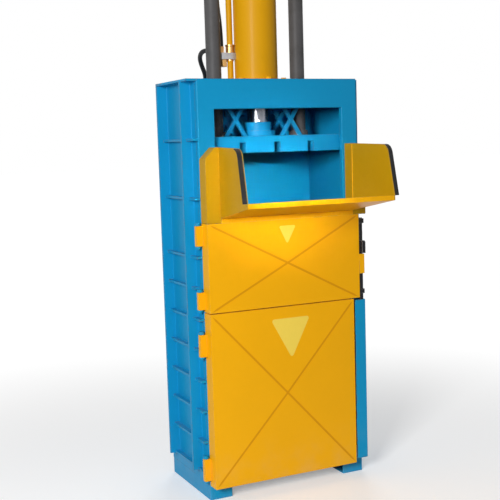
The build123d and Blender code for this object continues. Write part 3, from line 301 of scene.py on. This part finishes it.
strength = math_node(paint_skin, "MULTIPLY", skin_in.outputs["Variation"], 2.0)
tone = math_node(paint_skin, "ADD", 1.0, math_node(paint_skin, "MULTIPLY", swing, strength))
shade = paint_skin.nodes.new("ShaderNodeVectorMath")
shade.operation = "SCALE"
paint_skin.links.new(skin_in.outputs["Colour"], shade.inputs[0])
paint_skin.links.new(tone, shade.inputs["Scale"])
paint_skin.links.new(shade.outputs["Vector"], skin_out.inputs["Colour"])
peel = noise_node(paint_skin, place.outputs["Position"], skin_in.outputs["Peel Scale"], 2.0, 0.5)
paint_skin.links.new(peel, skin_out.inputs["Height"])
shift = math_node(paint_skin, "MULTIPLY", swing, ROUGHNESS_SWING)
paint_skin.links.new(shift, skin_out.inputs["Roughness Shift"])
print("group", paint_skin.name)

# %% [markdown]
# ## Effect: settled dust
# Paper dust lies on what faces up and is kicked against what stands near the floor. The mask grows
# with the upward part of the normal, and with nearness to the floor, both broken up by noise.

# %% Group: settled dust
settled_dust, dust_in, dust_out = new_group(
    "settled_dust", [("On Top", FLOAT, 0.35), ("Near Floor", FLOAT, 0.35)], [("Mask", FLOAT)])
place = settled_dust.nodes.new("ShaderNodeNewGeometry")
facing = settled_dust.nodes.new("ShaderNodeSeparateXYZ")
settled_dust.links.new(place.outputs["Normal"], facing.inputs[0])
height = settled_dust.nodes.new("ShaderNodeSeparateXYZ")
settled_dust.links.new(place.outputs["Position"], height.inputs[0])
STEEP, FLAT, DUST_HEIGHT = 0.6, 0.98, 0.32
cloud = noise_node(settled_dust, place.outputs["Position"], 9.0, 5.0, 0.65)
cloud = ramp_node(settled_dust, cloud, 0.35, 0.75)
flat = ramp_node(settled_dust, facing.outputs["Z"], STEEP, FLAT)
on_top = math_node(settled_dust, "MULTIPLY", flat, dust_in.outputs["On Top"])
clear = ramp_node(settled_dust, height.outputs["Z"], 0.0, DUST_HEIGHT)
low = math_node(settled_dust, "SUBTRACT", 1.0, clear)
near_floor = math_node(settled_dust, "MULTIPLY", low, dust_in.outputs["Near Floor"])
both = math_node(settled_dust, "MAXIMUM", on_top, near_floor)
settled_dust.links.new(math_node(settled_dust, "MULTIPLY", both, cloud, True), dust_out.inputs["Mask"])
print("group", settled_dust.name)

# %% [markdown]
# ## Effect: drawn metal
# Bars that are drawn, ground or turned carry fine lines along one direction. Noise stretched a
# hundred times along that direction gives them, as a height and as a change of roughness.

# %% Group: drawn metal
drawn_lines, lines_in, lines_out = new_group(
    "drawn_lines", [("Across", FLOAT, 900.0), ("Along X", FLOAT, 1.0), ("Along Y", FLOAT, 1.0),
                    ("Along Z", FLOAT, 0.01)],
    [("Lines", FLOAT), ("Blotches", FLOAT)])
place = drawn_lines.nodes.new("ShaderNodeNewGeometry")
stretch = drawn_lines.nodes.new("ShaderNodeCombineXYZ")
for label in ("X", "Y", "Z"):
    drawn_lines.links.new(lines_in.outputs["Along " + label], stretch.inputs[label])
pulled = drawn_lines.nodes.new("ShaderNodeVectorMath")
pulled.operation = "MULTIPLY"
drawn_lines.links.new(place.outputs["Position"], pulled.inputs[0])
drawn_lines.links.new(stretch.outputs["Vector"], pulled.inputs[1])
fine_lines = noise_node(drawn_lines, pulled.outputs["Vector"], lines_in.outputs["Across"], 2.0)
drawn_lines.links.new(fine_lines, lines_out.inputs["Lines"])
blotches = noise_node(drawn_lines, place.outputs["Position"], 7.0, 4.0, 0.65)
drawn_lines.links.new(blotches, lines_out.inputs["Blotches"])
print("group", drawn_lines.name)

# %% [markdown]
# ## Materials: paint
# Body and press wear two enamels, blue and yellow. Each is a coloured layer under a thin clear
# sheen, with primer showing on worn corners and dust over it. The colour goes from group to group,
# and each constant that is the same all over is set on the shader itself. Sacks and boxes rub the
# hopper dull, so its ears and cheeks are rougher, and their darker yellow is painted shade. The
# round barrel, its flange and the pressure pipe have a darker, rougher yellow.

# %% Paint materials
DUST = (0.42, 0.40, 0.37, 1)


def group_node(tree, group, **values):
    """Group placed in a material, with its own values."""
    node = tree.nodes.new("ShaderNodeGroup")
    node.node_tree = group
    for label, value in values.items():
        node.inputs[label.replace("_", " ")].default_value = value
    return node


def blend_colour(tree, mask, first, second):
    """First colour, or the second where the mask is 1."""
    node = tree.nodes.new("ShaderNodeMix")
    node.data_type = "RGBA"
    tree.links.new(mask, node.inputs["Factor"])
    for socket, value in ((node.inputs[6], first), (node.inputs[7], second)):
        if isinstance(value, tuple):
            socket.default_value = value
        else:
            tree.links.new(value, socket)
    return node.outputs[2]


def new_material(name):
    """Material with its node tree and its shader."""
    material = bpy.data.materials.new(name)
    material.use_nodes = True
    return material, material.node_tree, material.node_tree.nodes["Principled BSDF"]


def raise_surface(tree, shader, height, distance, strength=1.0):
    """Bump from a height socket."""
    bump = tree.nodes.new("ShaderNodeBump")
    bump.inputs["Distance"].default_value = distance
    bump.inputs["Strength"].default_value = strength
    tree.links.new(height, bump.inputs["Height"])
    tree.links.new(bump.outputs["Normal"], shader.inputs["Normal"])


def enamel(name, colour, under, roughness=0.38, wear=0.35, dust=0.12, variation=0.07):
    """Sprayed enamel over primer or steel."""
    material, tree, shader = new_material(name)
    skin = group_node(tree, paint_skin, Colour=colour, Variation=variation)
    worn = group_node(tree, edge_wear, Amount=wear)
    dusty = group_node(tree, settled_dust, On_Top=dust, Near_Floor=dust)
    chipped = blend_colour(tree, worn.outputs["Mask"], skin.outputs["Colour"], under)
    top = blend_colour(tree, dusty.outputs["Mask"], chipped, DUST)
    tree.links.new(top, shader.inputs["Base Color"])
    dulled = math_node(tree, "ADD", roughness, math_node(tree, "MULTIPLY", dusty.outputs["Mask"], 0.5))
    tree.links.new(math_node(tree, "ADD", dulled, skin.outputs["Roughness Shift"], True),
                   shader.inputs["Roughness"])
    raise_surface(tree, shader, skin.outputs["Height"], 0.00035, 0.35)
    shader.inputs["Specular IOR Level"].default_value = 0.10
    shader.inputs["Coat Weight"].default_value = 0.02
    shader.inputs["Coat Roughness"].default_value = 0.16
    return material


BLUE, YELLOW = (0.006, 0.275, 0.53, 1), (0.85, 0.41, 0.004, 1)
UNWORN = -2.0
PRIMER = (0.13, 0.115, 0.11, 1)
BARE = (0.36, 0.36, 0.37, 1)
MATERIALS = {
    "blue_paint": enamel("blue_paint", BLUE, PRIMER),
    "yellow_paint": enamel("yellow_paint", YELLOW, PRIMER, roughness=0.36),
    "blue_weld": enamel("blue_weld", BLUE, PRIMER, wear=UNWORN),
    "yellow_weld": enamel("yellow_weld", YELLOW, PRIMER, wear=UNWORN),
    "barrel_paint": enamel("barrel_paint", (0.66, 0.32, 0.004, 1), PRIMER, roughness=0.5),
    # The hopper's ears and cheeks take a darker yellow that is painted shade, with a rougher sheen.
    "hopper_painted_shade": enamel("hopper_painted_shade", (0.50, 0.275, 0.004, 1), PRIMER, roughness=0.46, variation=0.14),
    # The crease yellow is darker: grime in the V together with painted shade.
    "crease_grime_and_shade": enamel("crease_grime_and_shade", (0.67, 0.28, 0.003, 1), PRIMER, 0.5, wear=UNWORN, dust=0.0),
    "black_paint": enamel("black_paint", (0.016, 0.016, 0.018, 1), BARE, wear=0.8),
    "grey_paint": enamel("grey_paint", (0.42, 0.43, 0.44, 1), BARE, wear=0.2),
    "motor_paint": enamel("motor_paint", (0.10, 0.12, 0.14, 1), BARE, wear=0.3),
}
print(len(MATERIALS), "paints")

# %% [markdown]
# ## Materials: bare metal, rubber and plastic
# The floor plate is rubbed bright by bales, rods are ground and greased, brass nuts are turned.
# All are metal with drawn lines; rubber and plastic are plain coloured bodies with a soft grain.

# %% Metal, rubber and plastic materials
LINE_SHARE, STAIN_SHARE = 0.12, 0.12


def drawn_metal(name, colour, stained, roughness, along="Z", lines=900.0, depth=0.00004, metallic=1):
    """Ground or turned metal with lines along one direction and a few darker stains."""
    material, tree, shader = new_material(name)
    pull = {"Along_" + axis: 0.01 if axis == along else 1.0 for axis in ("X", "Y", "Z")}
    drawn = group_node(tree, drawn_lines, Across=lines, **pull)
    stain = ramp_node(tree, drawn.outputs["Blotches"], 0.45, 0.75)
    tree.links.new(blend_colour(tree, stain, colour, stained), shader.inputs["Base Color"])
    shader.inputs["Metallic"].default_value = metallic
    lined = math_node(tree, "MULTIPLY", drawn.outputs["Lines"], LINE_SHARE)
    lined = math_node(tree, "ADD", roughness, lined)
    dulled = math_node(tree, "ADD", lined, math_node(tree, "MULTIPLY", stain, STAIN_SHARE), True)
    tree.links.new(dulled, shader.inputs["Roughness"])
    raise_surface(tree, shader, drawn.outputs["Lines"], depth)
    shader.inputs["Specular IOR Level"].default_value = 0.12 if metallic == 0 else 0.5
    return material


def moulded(name, colour, roughness, grain, depth, dust=0.2):
    """Rubber or plastic with a moulded grain."""
    material, tree, shader = new_material(name)
    skin = group_node(tree, paint_skin, Colour=colour, Variation=0.12, Peel_Scale=grain)
    dusty = group_node(tree, settled_dust, On_Top=dust, Near_Floor=dust)
    tree.links.new(blend_colour(tree, dusty.outputs["Mask"], skin.outputs["Colour"], DUST),
                   shader.inputs["Base Color"])
    tree.links.new(math_node(tree, "ADD", roughness, skin.outputs["Roughness Shift"], True),
                   shader.inputs["Roughness"])
    raise_surface(tree, shader, skin.outputs["Height"], depth, 0.5)
    shader.inputs["Specular IOR Level"].default_value = 0.25
    return material


MATERIALS.update({
    "worn_steel": drawn_metal("worn_steel", (0.46, 0.46, 0.47, 1), (0.22, 0.20, 0.18, 1), 0.34, "Y", 300.0),
    "steel": drawn_metal("steel", (0.48, 0.48, 0.50, 1), (0.32, 0.31, 0.30, 1), 0.3),
    "brass": drawn_metal("brass", (0.66, 0.38, 0.13, 1), (0.36, 0.20, 0.08, 1), 0.3),
    "chrome": drawn_metal("chrome", (0.34, 0.35, 0.38, 1), (0.20, 0.21, 0.24, 1), 0.16),
    "dark_steel": drawn_metal("dark_steel", (0.090, 0.087, 0.088, 1), (0.065, 0.063, 0.062, 1), 0.4,
                              metallic=0),
    "cast_iron": moulded("cast_iron", (0.09, 0.09, 0.095, 1), 0.62, 160.0, 0.0008),
    "hose_rubber": moulded("hose_rubber", (0.010, 0.010, 0.011, 1), 0.5, 420.0, 0.0003, dust=0.05),
    # The near-black edge rubber on the hopper cheeks' front edges stands where those folded edges lie in
    # shade: painted shade.
    "edge_rubber": moulded("edge_rubber", (0.008, 0.008, 0.009, 1), 0.6, 420.0, 0.0003, dust=0.0),
    "red_plastic": moulded("red_plastic", (0.55, 0.012, 0.010, 1), 0.25, 500.0, 0.0001),
    "green_plastic": moulded("green_plastic", (0.012, 0.30, 0.05, 1), 0.25, 500.0, 0.0001),
    "pale_vinyl": moulded("pale_vinyl", (0.86, 0.63, 0.085, 1), 0.5, 600.0, 0.00005, dust=0.1),
})
print(len(MATERIALS), "materials")

# %% [markdown]
# ## Dress the CAD parts
# Folded sheet has round corners and plate has a ground edge, while CAD corners are dead sharp.
# A bevel on every corner catches the light as steel does. Each part takes its material by slot.

# %% Dress the CAD parts
EDGE = {"lower_door_skin": 0.005, "mid_door_skin": 0.005, "front_frame": 0.006, "hopper_ears": 0.005,
        "lock_cover": 0.004, "skids": 0.004, "control_box": 0.004, "rear_beams": 0.004,
        "platen_rails": 0.0025, "platen_braces": 0.0015, "left_stiffeners": 0.0015,
        "right_stiffeners": 0.0015}
PLAIN_EDGE = 0.0012
# The hopper's ears and cheeks take the darker yellow that is painted shade.
FINISH = {"hopper_ears": "hopper_painted_shade", "hopper_cheeks": "hopper_painted_shade", "cylinder_barrel": "barrel_paint",
          "cylinder_flange": "barrel_paint", "pressure_pipe": "barrel_paint"}
SLOTS = {part["node"]: part["material_slot"] for part in frame["record"]["subparts"]}
for node_name, node in nodes.items():
    node.data.materials.clear()
    node.data.materials.append(MATERIALS[FINISH.get(node_name, SLOTS[node_name])])
    rolled_edge(node, EDGE.get(node_name, PLAIN_EDGE))
print("dressed", len(nodes), "parts")

# %% [markdown]
# ## Creased door pans
# Each door is one folded sheet, and a press brake has creased its face from corner to corner, which
# stops a flat sheet from drumming. The crease is a shallow V a few millimetres wide, where grime
# gathers; its two sides take a darker yellow, grime together with painted shade. The pan is built
# from its four slightly raised facets with two strips down every V, gets its thickness from a
# Solidify modifier, and takes the place of the plain CAD pan.

# %% Creased door pans
CREASE_HALF, CREASE_DEPTH = 0.0045, 0.0024
PAN_WALL, PAN_FOLD = 0.004, 0.005
CREASE_END, CREASE_FADE = 0.012, 0.036
DOOR_BULGE = 0.009


def pan_points(box):
    """Middle of the face, then seven points for every corner: four of its V and three of the pan."""
    (left, front, low), (right, rear, high) = box
    face = front + DOOR_BULGE
    centre = Vector(((left + right) / 2, (low + high) / 2))
    half = Vector(((right - left) / 2, (high - low) / 2))

    def on_face(flat, sink=0.0):
        rise = 1 - max(abs(flat.x - centre.x) / half.x, abs(flat.y - centre.y) / half.y)
        return (flat.x, face - DOOR_BULGE * rise + sink, flat.y)

    corners = [Vector(corner) for corner in ((left, low), (right, low), (right, high), (left, high))]
    arms = [(corner - centre).normalized() for corner in corners]
    reach = (corners[0] - centre).length
    points = [on_face(centre, CREASE_DEPTH)]
    for k, (corner, arm) in enumerate(zip(corners, arms)):
        after = arms[(k + 1) % 4]
        apex = centre + (arm + after).normalized() * (CREASE_HALF / sin(arm.angle(after) / 2))
        side = Vector((-arm.y, arm.x)) * CREASE_HALF
        fade = centre + arm * (reach - CREASE_FADE)
        points += [on_face(apex), on_face(fade, CREASE_DEPTH), on_face(fade + side), on_face(fade - side),
                   on_face(centre + arm * (reach - CREASE_END)),
                   (corner.x, face, corner.y), (corner.x, rear, corner.y)]
    return points


def pan_faces():
    """Faces over those points: the facets with the pan's sides, and the two sides of every V."""
    plain, grimy_and_shaded = [], []
    for k in range(4):
        apex, trough, near, far, tip, corner, back = range(1 + 7 * k, 8 + 7 * k)
        after = 7 * ((k + 1) % 4)
        last_apex = 1 + 7 * ((k - 1) % 4)
        plain += [(apex, near, tip, corner, after + 6, after + 5, after + 4),
                  (corner, back, after + 7, after + 6)]
        grimy_and_shaded += [(0, trough, near, apex), (trough, tip, near),
                  (0, last_apex, far, trough), (trough, far, tip)]
    return plain, grimy_and_shaded


def creased_pan(name, node, body):
    """Folded pan, open behind, whose face carries a V along both diagonals."""
    plain, grimy_and_shaded = pan_faces()
    pan = solid(name, pan_points(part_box(node)), plain + grimy_and_shaded, body, MATERIALS["yellow_paint"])
    # The V's sides take the darker crease yellow, grime together with painted shade.
    pan.data.materials.append(MATERIALS["crease_grime_and_shade"])
    for polygon in pan.data.polygons:
        polygon.material_index = int(polygon.index >= len(plain))
    sheet = pan.modifiers.new("sheet thickness", "SOLIDIFY")
    sheet.thickness = PAN_WALL
    sheet.offset = -1
    rolled_edge(pan, PAN_FOLD, 3, 60)
    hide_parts(node)


creased_pan("lower_door_pan", "lower_door_skin", "lower_door")
creased_pan("mid_door_pan", "mid_door_skin", "mid_door")
print("2 creased pans")

# %% [markdown]
# ## Bare stickers
# A pale triangle of vinyl is stuck near the top of each door, point down. It is a thin plate with
# round corners, laid on the slope of the facet that carries it.

# %% Bare stickers
VINYL_THICK, CORNER_STEPS = 0.0005, 5


def rounded_triangle(corners, radius):
    """Outline of a triangle whose corners are turned with one radius."""
    outline = []
    for i in range(3):
        here, before, after = corners[i], corners[i - 1], corners[(i + 1) % 3]
        to_before, to_after = (before - here).normalized(), (after - here).normalized()
        half_angle = to_before.angle(to_after) / 2
        hub = here + (to_before + to_after).normalized() * (radius / sin(half_angle))
        first = here + to_before * (radius / tan(half_angle)) - hub
        sweep = pi - 2 * half_angle
        for step in range(CORNER_STEPS + 1):
            turn = Matrix.Rotation(sweep * step / CORNER_STEPS, 2)
            outline.append(hub + turn @ first)
    return outline


def sticker(name, node, body, corners, radius):
    """Thin plate on the upper facet of a door's face."""
    (left, front, low), (right, rear, high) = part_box(node)
    middle = (low + high) / 2
    outline = rounded_triangle([Vector(corner) for corner in corners], radius)
    points = []
    for lift in (0.0, VINYL_THICK):
        for flat in outline:
            seat = front + DOOR_BULGE * (flat.y - middle) / (high - middle)
            points.append((flat.x, seat - lift, flat.y))
    count = len(outline)
    faces = [tuple(range(count)), tuple(range(2 * count - 1, count - 1, -1))]
    for i in range(count):
        j = (i + 1) % count
        faces.append((i, i + count, j + count, j))
    plate = solid(name, points, faces, body, MATERIALS["pale_vinyl"])
    return rolled_edge(plate, 0.0001, 2)


sticker("lower_sticker", "lower_door_skin", "lower_door",
        [(-0.110, 0.815), (-0.008, 0.626), (0.092, 0.815)], 0.010)
sticker("mid_sticker", "mid_door_skin", "mid_door",
        [(-0.057, 1.239), (-0.018, 1.155), (0.030, 1.239)], 0.006)
print("2 stickers")

# %% [markdown]
# ## Weld beads
# The body is plate joined by hand welding, and every bar stands in a bead of it. A bead looks like a
# row of coins pushed over, so its tube swells and narrows every few millimetres. It lies in a corner
# where nothing rubs, so its paint isn't worn. All the beads of one group go into one mesh, because
# a separate piece for each would be hundreds.

# %% Weld beads
BEAD_RADIUS, BEAD_PITCH, BEAD_SIDES = 0.0032, 0.0045, 5
WELD_PAINT = {"blue_paint": "blue_weld", "yellow_paint": "yellow_weld"}


def bead(points, faces, path):
    """Adds a scaled tube along a list of places."""
    first = len(points)
    for i, here in enumerate(path):
        ahead = (path[min(i + 1, len(path) - 1)] - path[max(i - 1, 0)]).normalized()
        side = ahead.cross(Vector((0.31, 0.53, 0.79))).normalized()
        over = ahead.cross(side)
        radius = BEAD_RADIUS * (1.0 if i % 2 else 0.72)
        for k in range(BEAD_SIDES):
            angle = 2 * pi * k / BEAD_SIDES
            points.append(here + side * (radius * cos(angle)) + over * (radius * sin(angle)))
    for i in range(len(path) - 1):
        for k in range(BEAD_SIDES):
            a = first + i * BEAD_SIDES + k
            b = first + i * BEAD_SIDES + (k + 1) % BEAD_SIDES
            faces.append((a, b, b + BEAD_SIDES, a + BEAD_SIDES))
    faces.append(tuple(range(first + BEAD_SIDES - 1, first - 1, -1)))
    faces.append(tuple(range(len(points) - BEAD_SIDES, len(points))))


def straight(start, end):
    """Places every half pitch from one point to another."""
    start, end = Vector(start), Vector(end)
    count = max(3, int((end - start).length / BEAD_PITCH * 2))
    return [start.lerp(end, i / count) for i in range(count + 1)]


def circle(centre, radius):
    """Places every half pitch round an upright axis."""
    count = int(2 * pi * radius / BEAD_PITCH * 2)
    turns = [2 * pi * i / count for i in range(count + 1)]
    return [Vector(centre) + Vector((radius * cos(turn), radius * sin(turn), 0)) for turn in turns]


def weld(name, body, slot, paths):
    """One mesh of beads in the paint of what they join."""
    points, faces = [], []
    for path in paths:
        bead(points, faces, path)
    return solid(name, points, faces, body, MATERIALS[WELD_PAINT[slot]])


print("bead every", BEAD_PITCH * 1000, "mm")

# %% [markdown]
# ## Where the welds run
# The two uprights and the cross bars are welded along their feet, the deck is welded to the walls,
# the bush and cylinder flanges all round, and the braces to the platen.

# %% Where the welds run
WALL_X, UPRIGHT_Y, UPRIGHT_HALF = 0.406, (-0.151, 0.136), 0.006
BAR_LEVELS = [0.14 * (i + 1) for i in range(8)] + [1.12 + 0.26 * (i + 1) for i in range(3)]
BAR_THICK, WELD_LOW, WELD_HIGH, BODY_TOP = 0.010, 0.135, 1.885, 1.9


def stiffener_paths(side):
    """Beads along the feet of the uprights and of the cross bars between them."""
    x = side * WALL_X
    feet = [y + way * UPRIGHT_HALF for y in UPRIGHT_Y for way in (-1, 1)]
    paths = [straight((x, y, WELD_LOW), (x, y, WELD_HIGH)) for y in feet]
    ends = (UPRIGHT_Y[0] + UPRIGHT_HALF, UPRIGHT_Y[1] - UPRIGHT_HALF)
    for level in BAR_LEVELS:
        paths.append(straight((x, ends[0], level - BAR_THICK), (x, ends[1], level - BAR_THICK)))
        if level < BODY_TOP - BAR_THICK:
            paths.append(straight((x, ends[0], level), (x, ends[1], level)))
    return paths


weld("left_welds", "press_frame", "blue_paint", stiffener_paths(-1))
weld("right_welds", "press_frame", "blue_paint", stiffener_paths(1))

DECK_Z, GUIDE_X, BUSH_RADIUS, FLANGE_RADIUS = 1.875, 0.219, 0.066, 0.150
DECK_SIDE, DECK_FRONT, DECK_REAR = 0.4, -0.205, 0.224
deck_paths = [straight((-DECK_SIDE, y, DECK_Z), (DECK_SIDE, y, DECK_Z)) for y in (DECK_FRONT, DECK_REAR)]
deck_paths += [straight((x, -0.2, DECK_Z), (x, 0.22, DECK_Z)) for x in (-DECK_SIDE, DECK_SIDE)]
deck_paths += [circle((x, 0, DECK_Z), BUSH_RADIUS) for x in (-GUIDE_X, GUIDE_X)]
deck_paths.append(circle((0, 0, DECK_Z), FLANGE_RADIUS))
weld("deck_welds", "press_frame", "blue_paint", deck_paths)

FLANGE_Z, BARREL_RADIUS = 1.905, 0.1015
weld("barrel_weld", "press_frame", "yellow_paint", [circle((0, 0, FLANGE_Z), BARREL_RADIUS)])

PLATEN_Z, COUPLING_RADIUS, GUIDE_FOOT_RADIUS = 1.645, 0.082, 0.046
BRACE_X, BRACE_SPREAD, BRACE_HALF = 0.145, 0.05, 0.011
brace_paths = []
for middle in (-BRACE_X, BRACE_X):
    for foot in (middle - BRACE_SPREAD, middle + BRACE_SPREAD):
        for y in (-0.066, -0.054, 0.054, 0.066):
            ends = (foot - BRACE_HALF, y, PLATEN_Z), (foot + BRACE_HALF, y, PLATEN_Z)
            brace_paths.append(straight(*ends))
brace_paths.append(circle((0, 0, PLATEN_Z), COUPLING_RADIUS))
brace_paths += [circle((x, 0, PLATEN_Z), GUIDE_FOOT_RADIUS) for x in (-GUIDE_X, GUIDE_X)]
weld("platen_welds", "ram", "blue_paint", brace_paths)

EAR_X, EAR_Y, EAR_LOW, EAR_HIGH = 0.337, -0.298, 1.3, 1.597
weld("hopper_welds", "mid_door", "yellow_paint",
     [straight((x, EAR_Y, EAR_LOW), (x, EAR_Y, EAR_HIGH)) for x in (-EAR_X, EAR_X)])
print("weld beads placed")

# %% [markdown]
# ## Hoses
# Each hydraulic hose is a fixed length of stiff rubber tube between two fittings. A smooth NURBS
# curve through the same route as the CAD tube, with a round bevel, bends as a hose does.

# %% Hoses
HOSE_RADIUS = 0.011
LOWER_ROUTE = [(-0.156, 0.082, 2.034), (-0.184, 0.112, 2.056), (-0.204, 0.163, 2.058),
               (-0.197, 0.217, 2.034), (-0.172, 0.251, 1.996), (-0.149, 0.265, 1.957),
               (-0.136, 0.295, 1.923), (-0.136, 0.334, 1.872), (-0.136, 0.353, 1.786),
               (-0.136, 0.353, 1.610)]
UPPER_ROUTE = [(-0.164, 0.032, 2.066), (-0.164, 0.032, 2.140), (-0.172, 0.052, 2.290),
               (-0.172, 0.052, 2.480), (-0.164, 0.032, 2.630), (-0.164, 0.032, 2.706)]


def hose(name, route, node):
    """Rubber hose along a route, standing for its CAD tube."""
    curve = bpy.data.curves.new(name, "CURVE")
    curve.dimensions = "3D"
    curve.bevel_depth = HOSE_RADIUS
    curve.bevel_resolution = 8
    curve.resolution_u = 16
    curve.use_fill_caps = True
    spline = curve.splines.new("NURBS")
    spline.points.add(len(route) - 1)
    for point, place in zip(spline.points, route):
        point.co = (*place, 1)
    spline.order_u = 3
    spline.use_endpoint_u = True
    piece = bpy.data.objects.new(name, curve)
    scene.collection.objects.link(piece)
    curve.materials.append(MATERIALS["hose_rubber"])
    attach(piece, "press_frame")
    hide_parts(node)
    return piece


hose("lower_hose", LOWER_ROUTE, "hose_lower")
hose("upper_hose", UPPER_ROUTE, "hose_upper")
print("2 hoses")

# %% [markdown]
# ## Floor
# A pale studio floor that keeps the machine's shadow. Away from the machine its own colour fades
# and the camera sees it as plain white, as a swept paper ground is in a catalogue picture.

# %% Floor
FLOOR_REACH, NEAR_LIFT = 60, 0.3
FADE_FROM, FADE_TO = 0.9, 3.6
PAPER, FADED_PAPER = (0.80, 0.80, 0.80, 1), (0.02, 0.02, 0.02, 1)
floor_mesh = bpy.data.meshes.new("floor")
corners = [(x * FLOOR_REACH, y * FLOOR_REACH, 0) for x, y in ((-1, -1), (1, -1), (1, 1), (-1, 1))]
floor_mesh.from_pydata(corners, [], [(0, 1, 2, 3)])
floor = bpy.data.objects.new("floor", floor_mesh)
scene.collection.objects.link(floor)
paper, tree, shader = new_material("studio_paper")
shader.inputs["Roughness"].default_value = 0.9
shader.inputs["Specular IOR Level"].default_value = 0.1
place = tree.nodes.new("ShaderNodeNewGeometry")
away = tree.nodes.new("ShaderNodeVectorMath")
away.operation = "LENGTH"
tree.links.new(place.outputs["Position"], away.inputs[0])
faded = ramp_node(tree, away.outputs["Value"], FADE_FROM, FADE_TO)
tree.links.new(blend_colour(tree, faded, PAPER, FADED_PAPER), shader.inputs["Base Color"])
lifted = math_node(tree, "ADD", NEAR_LIFT, math_node(tree, "MULTIPLY", faded, 1 - NEAR_LIFT))
tree.links.new(math_node(tree, "MULTIPLY", seen_as_white(tree), lifted), shader.inputs["Emission Strength"])
shader.inputs["Emission Color"].default_value = (1, 1, 1, 1)
floor_mesh.materials.append(paper)
print("floor", 2 * FLOOR_REACH, "m wide")

# %% [markdown]
# ## End

# %% End
print("scene built")
